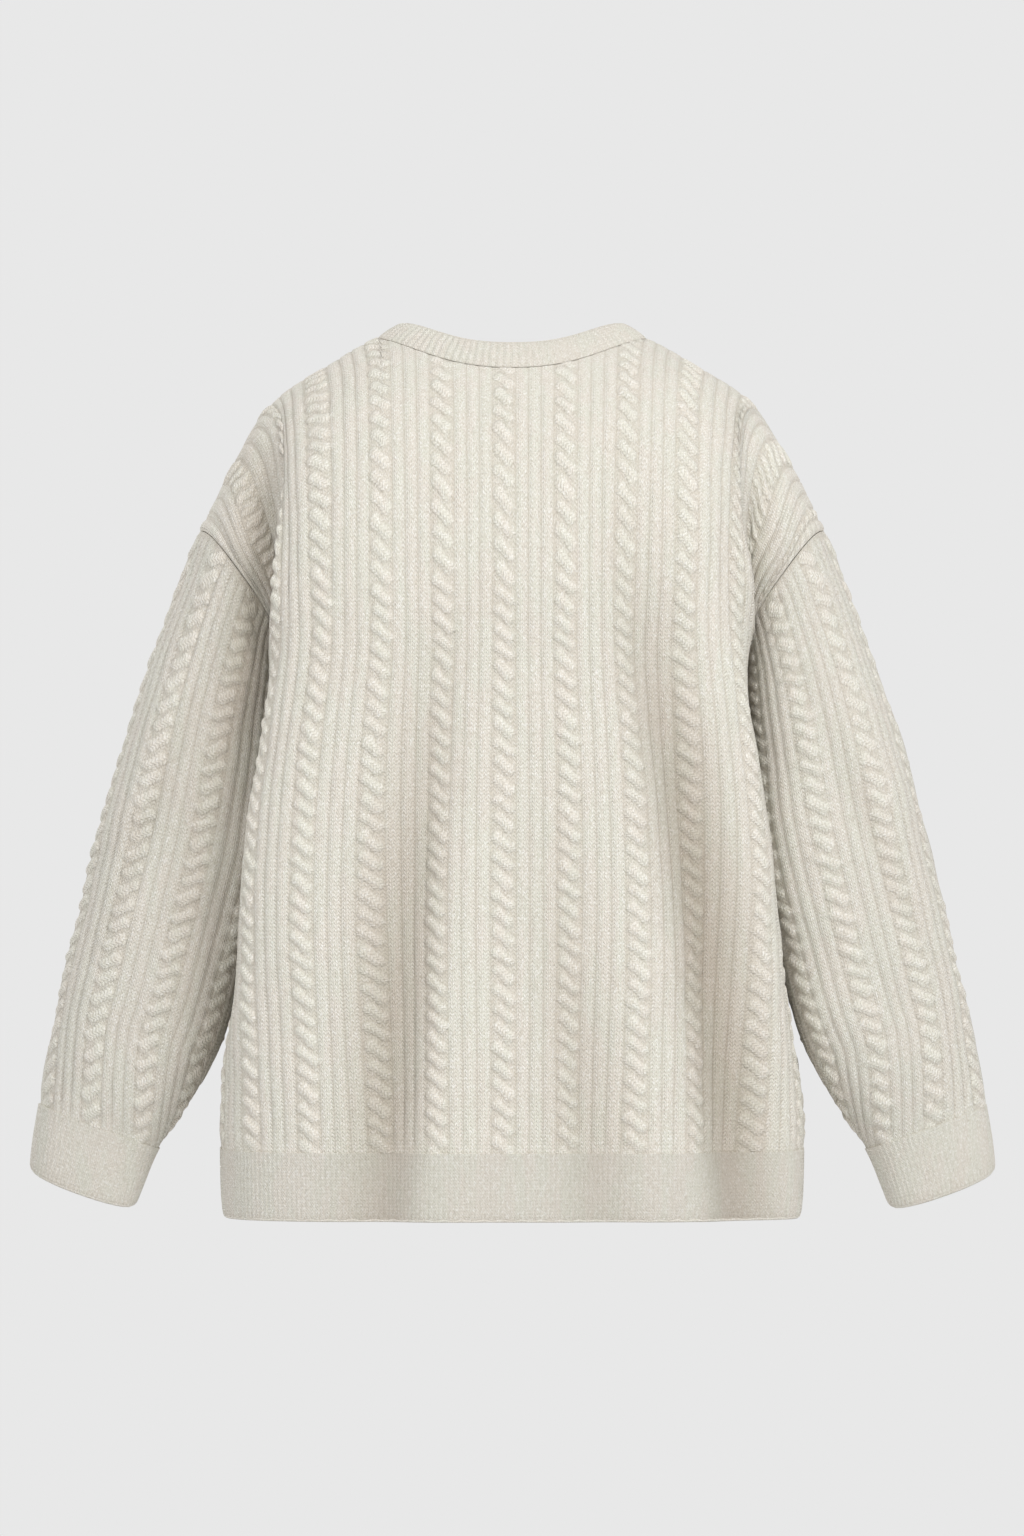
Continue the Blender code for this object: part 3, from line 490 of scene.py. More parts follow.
def sleeve_surface(side: Side) -> Surface:
    """A sleeve, as if on the wearer's left.

    Args:
        side: Whose forward set it has.

    Returns:
        Its surface over u, the share of the half girth (positive over the back), and v, down from the armhole.
    """
    shares = np.linspace(-1, 1, 17)
    turns = np.linspace(-math.pi, math.pi, SLEEVE_POINTS)
    rings = [by_length(armhole(turns), (shares + 1) / 2)]
    centres = [armhole(turns).mean(axis=0)]
    for k, (outer, inner, half_depth, set_y, squareness) in enumerate((*SLEEVE_RINGS, CUFF_END)):
        y = set_y + SET_BACK[side] * min(1, (k + 1) / 3)
        outer, inner = np.array([outer[0], y, outer[1]]), np.array([inner[0], y, inner[1]])
        centre, out = (outer + inner) / 2, (outer - inner) / 2
        ring = superellipse(1, 1, squareness, turns)
        sag = CUFF_SAG if (outer[0], outer[2]) == CUFF_END[0] else 0.0
        ring = centre + ring[:, :1] * out + ring[:, 1:] * (0, half_depth, 0) - np.abs(ring[:, 1:]) * (0, 0, sag)
        rings.append(by_length(ring, (shares + 1) / 2))
        centres.append(centre)
    rings = np.array(rings)
    wrapped = np.concatenate([rings[:, -4:-1], rings, rings[:, 1:4]], axis=1)
    columns = np.concatenate([shares[-4:-1] - 2, shares, shares[1:4] + 2])
    return Surface(wrapped, along(np.array(centres)), columns)


def half_girth(surface: Surface, v: float) -> float:
    """Half the way round a sleeve at v."""
    return along(surface.points(np.linspace(-1, 1, GIRTH_POINTS), np.full(GIRTH_POINTS, v)))[-1] / 2


@dataclass(frozen=True)
class SideShade:
    """The shade on the cloth that lies behind the torso's left edge.

    Each pair of lengths is where an easing is 0 and where it is 1. The shade is wide and weak low down.
    """

    foot: tuple[float, float] = (0.04, 0.16)
    head: tuple[float, float] = (0.635, 0.555)
    low: tuple[float, float] = (0.42, 0.30)
    rim: tuple[float, float] = (-0.002, 0.001)
    deepening: tuple[float, float] = (0.0, 0.012)
    reach: tuple[float, float] = (0.048, 0.014)
    at_rim: float = 0.45
    low_spread: float = 0.50
    low_loss: float = 0.45

    def lost(self, points: Array) -> Array:
        """How much light is lost, from 0 to 1."""
        height = points[..., 2]
        away = points[..., 0] - np.interp(height, EDGE_HEIGHTS, EDGE_HALF_WIDTHS)
        low = ease(*self.low, height)
        near = ease(*self.reach, away / (1 + self.low_spread * low))
        near = near * at_least(self.at_rim, ease(*self.deepening, away)) * ease(*self.rim, away)
        return near * (1 - self.low_loss * low) * ease(*self.head, height) * ease(*self.foot, height)


SIDE_SHADE = SideShade()
# Distances from the underarm between which the relief comes back.
UNDERARM_PRESS = (0.015, 0.060)


def relief_left(points: Array) -> Array:
    """Share of the relief left near the underarm, where sleeve and side press each other flat."""
    mirrored = np.concatenate([np.abs(points[..., :1]), points[..., 1:]], axis=-1)
    return ease(*UNDERARM_PRESS, np.linalg.norm(mirrored - armhole(math.pi), axis=-1))


def uneven(u: Array, v: Array, seed: float) -> Array:
    """Slow swells of the cloth between -1 and 1, a few centimetres apart."""
    return (
        np.sin(u * 61 + 3.1 * np.sin(v * 23 + seed) + seed)
        + np.sin(v * 47 + 2.3 * np.sin(u * 31 + 2 * seed) + 1.7 * seed)
        + np.sin((u + v) * 83 + 4.1 * seed)
    ) / 3


def scattered(first: Array, second: float) -> Array:
    """A fixed scattered number from 0 to 1 for each pair of whole numbers."""
    return np.mod(np.sin(first * 12.9898 + second * 78.233) * 43758.5453, 1.0)


@dataclass(frozen=True)
class Twist:
    """The slanting strands that make a cable, sized in their own pitch.

    A strand is a roll between two round ends, where it comes up from below and goes down again.
    """

    pitch: float = 0.0146
    half_length: float = 0.36
    end_radius: float = 0.345
    waist: float = 0.075
    slant: float = math.radians(49.0)
    fullness: float = 0.45

    def roundness(self, x: Array, y: Array) -> Array:
        """Height of a strand from 0 to 1, by distance from its middle across and along the cable."""
        on = x * math.sin(self.slant) + y * math.cos(self.slant)
        beside = x * math.cos(self.slant) - y * math.sin(self.slant)
        share = np.clip(on / self.half_length, -1, 1)
        radius = self.end_radius - self.waist * (1 - share**2)
        away = np.hypot(on - share * self.half_length, beside) / radius
        return np.clip(1 - away**2, 0, 1) ** self.fullness


TWIST = Twist()


@dataclass(frozen=True)
class CableKnit:
    """Cables of two crossing strands with three plain ribs between them.

    Stitch places count knit columns across and rows up, so that a rib is two knit stitches and a purl
    one, and a cable four knit stitches between two halves of a purl one.
    """

    repeat: float
    centre: float
    lean: int
    cable_share: float = 0.19
    cable_rise: float = 0.0030
    rib_rise: float = 0.0019
    row_height: float = 0.00292
    cable_columns: int = 13
    rib_columns: tuple[float, ...] = (-1.0, -0.70, 0.70)
    rib_squareness: float = 4.0
    rib_unevenness: float = 0.16
    bed_height: float = 0.30
    bed_fullness: float = 0.6
    strand_unevenness: float = 0.11
    ribs_each: int = 3
    cable_stitches: int = 5
    rib_stitches: int = 3

    @property
    def valley(self) -> float:
        """Half the width of a cable's place."""
        return self.cable_share * self.repeat

    @property
    def rib_pitch(self) -> float:
        """Distance between ribs."""
        return (self.repeat - 2 * self.valley) / self.ribs_each

    def columns(self, low: float, high: float) -> Array:
        """Where the cloth gets its columns of points: on each crest and groove, and between them.

        Args:
            low: First place across.
            high: Last place across.

        Returns:
            Rising places from low to high.
        """
        cable = np.linspace(-self.valley, self.valley, self.cable_columns + 1)[:-1]
        turns = [k + (r + 1) / 2 for k in range(self.ribs_each) for r in self.rib_columns]
        ribs = [self.valley + self.rib_pitch * turn for turn in turns]
        first = math.floor((low - self.centre) / self.repeat)
        last = math.ceil((high - self.centre) / self.repeat)
        places = [self.centre + k * self.repeat + u for k in range(first, last + 1) for u in (*cable, *ribs)]
        return np.array([u for u in places if low < u < high])

    def height(self, u: Array, v: Array) -> Array:
        """Relief of the knit.

        Args:
            u: Places across.
            v: Places along.

        Returns:
            Height over the cloth's base, in metres.
        """
        t, which, wander = self.within(u, v)
        rib = np.mod((t - 2 * self.valley) / self.rib_pitch, 1.0) * 2 - 1
        unevenness = 1 + self.rib_unevenness * np.sin(v * 140 + u * 300 + which)
        ribbed = self.rib_rise * (1 - np.abs(rib) ** self.rib_squareness) * unevenness
        x, y = self.strand_place(t + wander, v, which)
        bed = np.clip(1 - ((t + wander) / self.valley - 1) ** 2, 0, 1)
        top = self.bed_height * bed**self.bed_fullness
        for away in (np.mod(y, 1.0), np.mod(y, 1.0) - 1):
            fullness = 1 + self.strand_unevenness * np.sin((y - away) * 2.4 + which * 1.9)
            top = np.maximum(top, TWIST.roundness(x, away) * fullness)
        return np.where(t < 2 * self.valley, self.cable_rise * top, ribbed)

    def within(self, u: Array, v: Array, nudge: float = 0.0) -> tuple[Array, Array, Array]:
        """Where a place lies in the repeat.

        Args:
            u: Places across.
            v: Places along.
            nudge: How far to step aside first, to tell the two sides of a border apart.

        Returns:
            The distance from the cable's edge, the repeat's number, and how far the knit wanders sideways.
        """
        steps = (u + nudge - self.centre + self.valley) / self.repeat
        which = np.floor(steps)
        wander = 0.0005 * np.sin(v * 38 + u * 11 + 1.3) + 0.0003 * np.sin(v * 91 - u * 23)
        return (steps - which) * self.repeat, which, wander

    def strand_place(self, t: Array, v: Array, which: Array) -> tuple[Array, Array]:
        """Places in a cable, in strand pitches: across from its middle, and along, whole on each strand."""
        phase = scattered(which, 5) * 0.35 + 0.5 * np.mod(which, 2)
        y = v / TWIST.pitch - phase
        y = y + 0.05 * np.sin(y * 2.3 + which * 7) + 0.02 * np.sin(y * 5.1 + which * 3)
        return (t - self.valley) / TWIST.pitch * self.lean + 0.04 * np.sin(y * 3.9 + which), y

    def strands(self, u: Array, v: Array, nudge: float) -> Array:
        """Strand places for one side of each column of points, far off between the cables."""
        t, which, wander = self.within(u, v, nudge)
        x, y = self.strand_place(t - nudge + wander, v, which)
        return np.stack([np.where(t < 2 * self.valley, x, OFF_STRANDS), y], -1)

    def strands_beside(self, u: Array, v: Array) -> tuple[Array, Array]:
        """Strand places for the faces after and before each column of points."""
        return self.strands(u, v, NUDGE), self.strands(u, v, -NUDGE)

    def stitches(self, u: Array, v: Array) -> Array:
        """Stitch places: knit columns across and rows along."""
        t, which, _ = self.within(u, v)
        cable = t / (2 * self.valley) * self.cable_stitches
        rib = self.cable_stitches + (t - 2 * self.valley) / self.rib_pitch * self.rib_stitches
        each = self.cable_stitches + self.ribs_each * self.rib_stitches
        across = which * each + np.where(t < 2 * self.valley, cable, rib) - 0.5
        return np.stack([across, v / self.row_height], -1)


@dataclass(frozen=True)
class FineRib:
    """Fine rib of one knit and one purl stitch, for hem, cuffs and neckband."""

    count: int
    rise: float
    row_height: float = 0.0026
    columns_each: int = 4
    wander: float = 0.07
    fullness: float = 0.75

    def shares(self) -> Array:
        """Places round the band of its columns of points, from 0 to 1."""
        return np.linspace(0, 1, self.count * self.columns_each + 1)

    def height(self, share: Array, v: Array) -> Array:
        """Relief of the rib at shares of the way round, wandering a little along v."""
        x = share * self.count + self.wander * np.sin(v * 260 + share * 90)
        return self.rise * (0.5 + 0.5 * np.cos(2 * math.pi * (x - 0.5))) ** self.fullness

    def stitches(self, share: Array, v: Array) -> Array:
        """Stitch places: two to a rib across, and rows along."""
        return np.stack([share * self.count * 2, v / self.row_height], -1)


class Shell:
    """Collects the vertices and faces of one thin piece of cloth, with the places, relief and painted shade
    that its finish reads.
    """

    def __init__(self) -> None:
        """An empty shell."""
        self.points: list[Array] = []
        self.relief: list[Array] = []
        self.fold_shade: list[Array] = []
        self.corners: list[Array] = []
        self.on_strip: list[Array] = []
        self.maps: dict[str, list[Array]] = {"OFBake": [], "stitches": [], "strands": []}
        self.count = 0

    def add(self, points: Array, relief: Array | float = 0.5, fold_shade: Array | float = 0.0) -> Array:
        """Adds vertices.

        Args:
            points: Their places, of any shape with a last axis of three.
            relief: How far each stands out of the knit's grooves, from 0 to 1.
            fold_shade: Painted shade on each, from 0 to 1, for the shade of troughs, creases and the torso's
                edge.

        Returns:
            Their numbers, in the shape of the points.
        """
        shape = points.shape[:-1]
        total = int(np.prod(shape))
        self.points.append(points.reshape(-1, 3))
        self.relief.append(np.broadcast_to(relief, shape).ravel().astype(float))
        self.fold_shade.append(np.broadcast_to(fold_shade, shape).ravel().astype(float))
        self.count += total
        return np.arange(self.count - total, self.count).reshape(shape)

    def sheet(
        self,
        ids: Array,
        stitches: Array,
        area: Area,
        strands: tuple[Array, Array] | None = None,
    ) -> None:
        """Fills a grid of vertices with faces.

        Args:
            ids: Numbers of the vertices, row by row.
            stitches: Stitch place of each.
            area: The sheet's part of the bake map.
            strands: Strand place of each as the faces after it have it, and as the ones before it do.
        """
        rows, columns = ids.shape
        x = np.linspace(area[0], area[2], columns)
        y = np.linspace(area[1], area[3], rows)
        bake = np.stack(np.meshgrid(x, y), -1)
        after, before = strands or (np.full(stitches.shape, OFF_STRANDS),) * 2

        def around(low: Array, high: Array) -> Array:
            """The four corners of each face."""
            corners = (low[:-1, :-1], high[:-1, 1:], high[1:, 1:], low[1:, :-1])
            return np.stack(corners, axis=2).reshape((rows - 1) * (columns - 1), 4, *low.shape[2:])

        self.corners.append(around(ids, ids))
        self.on_strip.append(np.zeros((rows - 1) * (columns - 1), bool))
        self.maps["stitches"].append(around(stitches, stitches))
        self.maps["OFBake"].append(around(bake, bake))
        self.maps["strands"].append(around(after, before))

    def seam(self, first: Array, first_at: Array, second: Array, second_at: Array, area: Area) -> None:
        """Triangles between two lines of vertices, whatever their counts.

        Args:
            first: Numbers of one line's vertices.
            first_at: Their rising places.
            second: Numbers of the other line's.
            second_at: Their rising places.
            area: The strip's part of the bake map.
        """
        corners, places = [], []
        low, span = first_at[0], first_at[-1] - first_at[0]
        i = j = 0
        while i < len(first) - 1 or j < len(second) - 1:
            on_first = j == len(second) - 1 or (
                i < len(first) - 1 and first_at[i] + first_at[i + 1] <= second_at[j] + second_at[j + 1]
            )
            a, b = (first_at[i] - low) / span, (second_at[j] - low) / span
            if on_first:
                corners.append((first[i], first[i + 1], second[j], second[j]))
                c = (first_at[i + 1] - low) / span
                places.append(((a, 0), (c, 0), (b, 1), (b, 1)))
                i += 1
            else:
                corners.append((first[i], second[j + 1], second[j], second[j]))
                c = (second_at[j + 1] - low) / span
                places.append(((a, 0), (c, 1), (b, 1), (b, 1)))
                j += 1
        spots = np.array(places)
        size = np.array([area[2] - area[0], area[3] - area[1]])
        self.corners.append(np.array(corners))
        self.on_strip.append(np.ones(len(corners), bool))
        self.maps["stitches"].append(spots * STRIP_STITCHES)
        self.maps["OFBake"].append(spots * size + (area[0], area[1]))
        self.maps["strands"].append(np.full(spots.shape, OFF_STRANDS))

    def rims(self, first: list[Line], second: list[Line], strip: tuple[float, float]) -> None:
        """Joins the lines at one end of two grids, and the other way round those at the other end.

        Args:
            first: A line of the first grid at either end.
            second: A line of the second grid at either end.
            strip: Their strip of the bake map, as its low and high x.
        """
        (start, end), (other_start, other_end) = first, second
        lower, upper = ((strip[0], low, strip[1], high) for low, high in STRIP_HALVES)
        self.seam(*start, *other_start, lower)
        self.seam(*other_end, *end, upper)

    def make(self, name: str, mirrored: bool = False) -> bpy.types.Object:
        """The shell as an object.

        Args:
            name: Its name.
            mirrored: Whether it is the mirror image, on the wearer's right.

        Returns:
            The object, smooth, with its maps, its relief and its painted shade.
        """
        points = np.concatenate(self.points) * ((-1, 1, 1) if mirrored else (1, 1, 1))
        points = points - (0, 0, CUT.neck_point_height)
        corners = np.concatenate(self.corners)
        same = corners == np.roll(corners, -1, axis=1)
        sides = 4 - same.sum(axis=1)
        strips = np.concatenate(self.on_strip)
        faces, keep, on_strip = [], [], []
        for number in np.flatnonzero(sides >= 3):
            slots = [k for k in range(4) if not same[number, k]]
            if len(set(corners[number, slots])) == len(slots):
                slots = slots[::-1] if mirrored else slots
                faces.append(corners[number, slots].tolist())
                keep += [number * 4 + k for k in slots]
                on_strip += [strips[number]] * len(slots)
        mesh = bpy.data.meshes.new(name)
        mesh.from_pydata(points.tolist(), [], faces)
        keep = np.array(keep)
        for title, parts in self.maps.items():
            spots = np.concatenate(parts).reshape(-1, 2)[keep]
            mesh.uv_layers.new(name=title).uv.foreach_set("vector", spots.astype(np.float32).ravel())
        for title, parts in (("relief", self.relief), ("fold_shade", self.fold_shade)):
            shown = mesh.attributes.new(title, "FLOAT", "POINT")
            shown.data.foreach_set("value", np.concatenate(parts).astype(np.float32))
        mesh.update()
        mesh.shade_smooth()
        edges = np.empty(len(mesh.loops), np.int32)
        mesh.loops.foreach_get("edge_index", edges)
        on_strip = np.array(on_strip)
        beside = [np.bincount(edges[part], minlength=len(mesh.edges)) > 0 for part in (on_strip, ~on_strip)]
        sharp = mesh.attributes.new("sharp_edge", "BOOLEAN", "EDGE")
        sharp.data.foreach_set("value", beside[0] & beside[1])
        return placed(name, mesh)


def placed(name: str, data: bpy.types.ID) -> bpy.types.Object:
    """A new object in the scene."""
    obj = bpy.data.objects.new(name, data)
    bpy.context.scene.collection.objects.link(obj)
    return obj


def turned_out(obj: bpy.types.Object) -> None:
    """Turns the faces round if the closed mesh is inside out."""
    mesh = obj.data
    mesh.calc_loop_triangles()
    points = np.empty(len(mesh.vertices) * 3)
    mesh.vertices.foreach_get("co", points)
    triangles = np.empty(len(mesh.loop_triangles) * 3, int)
    mesh.loop_triangles.foreach_get("vertices", triangles)
    if np.linalg.det(points.reshape(-1, 3)[triangles.reshape(-1, 3)]).sum() < 0:
        mesh.flip_normals()


# Nodes side by side before the next row of them starts.
NODES_IN_ROW = 9


class Sheet:
    """Helper that places and links the nodes of one node tree."""

    def __init__(self, tree: bpy.types.NodeTree) -> None:
        """Starts on an empty tree."""
        self.tree = tree
        self.placed = 0

    def node(self, kind: str, **settings: object) -> bpy.types.Node:
        """Adds a node.

        Args:
            kind: Its type, without the words ShaderNode.
            settings: Attributes to set on it.

        Returns:
            The node.
        """
        made = self.tree.nodes.new(kind if kind.startswith("Node") else f"ShaderNode{kind}")
        made.location = (180 * (self.placed % NODES_IN_ROW), -220 * (self.placed // NODES_IN_ROW))
        self.placed += 1
        for name, value in settings.items():
            setattr(made, name, value)
        return made

    def put(self, value: object, socket: bpy.types.NodeSocket) -> None:
        """Links an output to a socket, or sets a plain value on it."""
        if isinstance(value, bpy.types.NodeSocket):
            self.tree.links.new(value, socket)
        else:
            socket.default_value = value

    def fed(self, kind: str, given: dict[str | int, object], **settings: object) -> bpy.types.Node:
        """Adds a node with links or values in its sockets.

        Args:
            kind: Its type, without the words ShaderNode.
            given: What goes into its sockets, by their names or numbers.
            settings: Attributes to set on it.

        Returns:
            The node.
        """
        made = self.node(kind, **settings)
        for socket, value in given.items():
            self.put(value, made.inputs[socket])
        return made

    def maths(self, operation: str, *values: object) -> bpy.types.NodeSocket:
        """A Math node's result."""
        return self.fed("Math", dict(enumerate(values)), operation=operation).outputs[0]

    def vector(self, operation: str, *values: object) -> bpy.types.NodeSocket:
        """A Vector Math node's result."""
        return self.fed("VectorMath", dict(enumerate(values)), operation=operation).outputs[0]

    def ranged(self, value: object, *ends: float) -> bpy.types.NodeSocket:
        """A value eased from one range, low and high, to another, and held at its ends."""
        given = dict(enumerate((value, *ends)))
        return self.fed("MapRange", given, interpolation_type="SMOOTHSTEP").outputs[0]

    def mixed(self, share: object, first: object, second: object, blend: str = "MIX") -> bpy.types.NodeSocket:
        """Two colours mixed by a share."""
        return self.fed("Mix", {0: share, 6: first, 7: second}, data_type="RGBA", blend_type=blend).outputs[2]

    def noise(self, place: object, stretch: float, scale: float, detail: float, roughness: float) -> object:
        """Noise from 0 to 1, with its upright axis stretched."""
        given = {"Scale": scale, "Detail": detail, "Roughness": roughness}
        given["Vector"] = self.vector("MULTIPLY", place, (1.0, 1.0, stretch))
        return self.fed("TexNoise", given).outputs[0]


def new_group(
    name: str, inputs: dict[str, tuple[str, object]], outputs: dict[str, str]
) -> tuple[Sheet, dict, dict]:
    """An empty node group with named sockets.

    Args:
        name: The group's name.
        inputs: Socket type and starting value by name.
        outputs: Socket type by name.

    Returns:
        Its sheet, the sockets to read from and the sockets to write to.
    """
    tree = bpy.data.node_groups.new(name, "ShaderNodeTree")
    for title, (kind, start) in inputs.items():
        socket = tree.interface.new_socket(title, in_out="INPUT", socket_type=f"NodeSocket{kind}")
        if start is not None:
            socket.default_value = start
    for title, kind in outputs.items():
        tree.interface.new_socket(title, in_out="OUTPUT", socket_type=f"NodeSocket{kind}")
    sheet = Sheet(tree)
    source, end = sheet.node("NodeGroupInput").outputs, sheet.node("NodeGroupOutput").inputs
    return sheet, {title: source[title] for title in inputs}, {title: end[title] for title in outputs}


def stitch_group() -> bpy.types.NodeTree:
    """Knit stitches: each column a row of Vs, by stitch places."""
    sheet, given, out = new_group(
        "knit_stitches",
        {"Place": ("Vector", None), "Wander": ("Float", 0.18), "Slope": ("Float", 0.62)},
        {"Height": "Float"},
    )
    drift = sheet.fed("TexNoise", {"Vector": given["Place"], "Scale": 0.7, "Detail": 2.0})
    centred = sheet.vector("SUBTRACT", drift.outputs["Color"], (0.5, 0.5, 0.5))
    scaled = sheet.fed("VectorMath", {0: centred, "Scale": given["Wander"]}, operation="SCALE")
    parts = sheet.fed("SeparateXYZ", {0: sheet.vector("ADD", given["Place"], scaled.outputs[0])})
    inside = sheet.maths("FRACT", parts.outputs[0])
    from_middle = sheet.maths("MULTIPLY", sheet.maths("ABSOLUTE", sheet.maths("SUBTRACT", inside, 0.5)), 2.0)
    raised = sheet.maths("SUBTRACT", parts.outputs[1], sheet.maths("MULTIPLY", from_middle, given["Slope"]))
    along_leg = sheet.maths("SINE", sheet.maths("MULTIPLY", sheet.maths("FRACT", raised), math.pi))
    across = sheet.maths("SINE", sheet.maths("MULTIPLY", from_middle, math.pi))
    soft = sheet.maths("ADD", sheet.maths("MULTIPLY", across, 0.5), 0.5)
    sheet.put(sheet.maths("MULTIPLY", sheet.maths("POWER", along_leg, 0.7), soft), out["Height"])
    return sheet.tree


# Stitches along a strand in each of its pitches.
STRAND_ROWS = 5.2


def strand_group(stitches: bpy.types.NodeTree) -> bpy.types.NodeTree:
    """The strands of a cable with the stitches that run along them, by strand places.

    Args:
        stitches: The stitch group.

    Returns:
        The group.
    """
    sheet, given, out = new_group(
        "cable_strands", {"Place": ("Vector", None)}, {"Round": "Float", "Knit": "Float", "Gap": "Float"}
    )
    parts = sheet.fed("SeparateXYZ", {0: given["Place"]})
    x, above = parts.outputs[0], sheet.maths("FRACT", parts.outputs[1])
    sine, cosine = math.sin(TWIST.slant), math.cos(TWIST.slant)
    found = []
    for y in (above, sheet.maths("SUBTRACT", above, 1.0)):
        on = sheet.maths("MULTIPLY_ADD", x, sine, sheet.maths("MULTIPLY", y, cosine))
        beside = sheet.maths("MULTIPLY_ADD", x, cosine, sheet.maths("MULTIPLY", y, -sine))
        held = sheet.maths("MAXIMUM", sheet.maths("MINIMUM", on, TWIST.half_length), -TWIST.half_length)
        share = sheet.maths("DIVIDE", held, TWIST.half_length)
        waist = TWIST.end_radius - TWIST.waist
        radius = sheet.maths("MULTIPLY_ADD", sheet.maths("MULTIPLY", share, share), TWIST.waist, waist)
        past = sheet.maths("SUBTRACT", on, held)
        square = sheet.maths("MULTIPLY_ADD", past, past, sheet.maths("MULTIPLY", beside, beside))
        share = sheet.maths("DIVIDE", square, sheet.maths("MULTIPLY", radius, radius))
        left = sheet.maths("MAXIMUM", sheet.maths("SUBTRACT", 1.0, share), 0.0)
        wide = sheet.maths("DIVIDE", beside, TWIST.end_radius)
        wide = sheet.maths("ADD", wide, sheet.maths("FLOOR", parts.outputs[1]))
        place = sheet.fed("CombineXYZ", {0: wide, 1: sheet.maths("MULTIPLY", on, STRAND_ROWS)})
        found.append((sheet.maths("POWER", left, TWIST.fullness), place.outputs[0]))
    (low, low_place), (high, high_place) = found
    chosen = {0: sheet.maths("GREATER_THAN", high, low), 4: low_place, 5: high_place}
    place = sheet.fed("Mix", chosen, data_type="VECTOR").outputs[1]
    knit = sheet.fed("Group", {"Place": place, "Wander": 0.25}, node_tree=stitches)
    top = sheet.maths("MAXIMUM", low, high)
    inside = sheet.maths("LESS_THAN", sheet.maths("ABSOLUTE", x), 0.60)
    sheet.put(top, out["Round"])
    sheet.put(knit.outputs["Height"], out["Knit"])
    sheet.put(sheet.maths("MULTIPLY", sheet.ranged(top, 0.15, 0.80, 1.0, 0.0), inside), out["Gap"])
    return sheet.tree


def yarn_group() -> bpy.types.NodeTree:
    """Heathered yarn: lighter and darker flecks, with a slow drift between two tints."""
    sheet, given, out = new_group(
        "heathered_yarn",
        {
            "Place": ("Vector", None),
            "Wool": ("Color", (0.7, 0.66, 0.58, 1.0)),
            "Light fleck": ("Color", (0.85, 0.82, 0.76, 1.0)),
            "Dark fleck": ("Color", (0.5, 0.45, 0.38, 1.0)),
            "Cool tint": ("Color", (0.69, 0.69, 0.6, 1.0)),
            "Flecks": ("Float", 0.5),
        },
        {"Color": "Color", "Fibre": "Float"},
    )
    fine = sheet.noise(given["Place"], 0.55, 900.0, 3.0, 0.6)
    coarse = sheet.noise(given["Place"], 0.7, 330.0, 3.0, 0.6)
    tint = sheet.noise(given["Place"], 0.22, 75.0, 2.0, 0.5)
    wool = sheet.mixed(sheet.ranged(tint, 0.38, 0.62, 0.0, 1.0), given["Wool"], given["Cool tint"])
    light = sheet.maths("MULTIPLY", sheet.ranged(fine, 0.50, 0.66, 0.0, 1.0), given["Flecks"])
    lit = sheet.mixed(light, wool, given["Light fleck"])
    low = sheet.maths("MULTIPLY_ADD", fine, 0.6, sheet.maths("MULTIPLY", coarse, 0.4))
    dark = sheet.maths("MULTIPLY", sheet.ranged(low, 0.50, 0.36, 0.0, 0.55), given["Flecks"])
    sheet.put(sheet.mixed(dark, lit, given["Dark fleck"]), out["Color"])
    sheet.put(fine, out["Fibre"])
    return sheet.tree


# Painted shade: what is left of each colour in full shade, in troughs, creases and behind the torso's left
# edge.
PAINTED_SHADE_TINT = (0.64, 0.60, 0.56, 1.0)


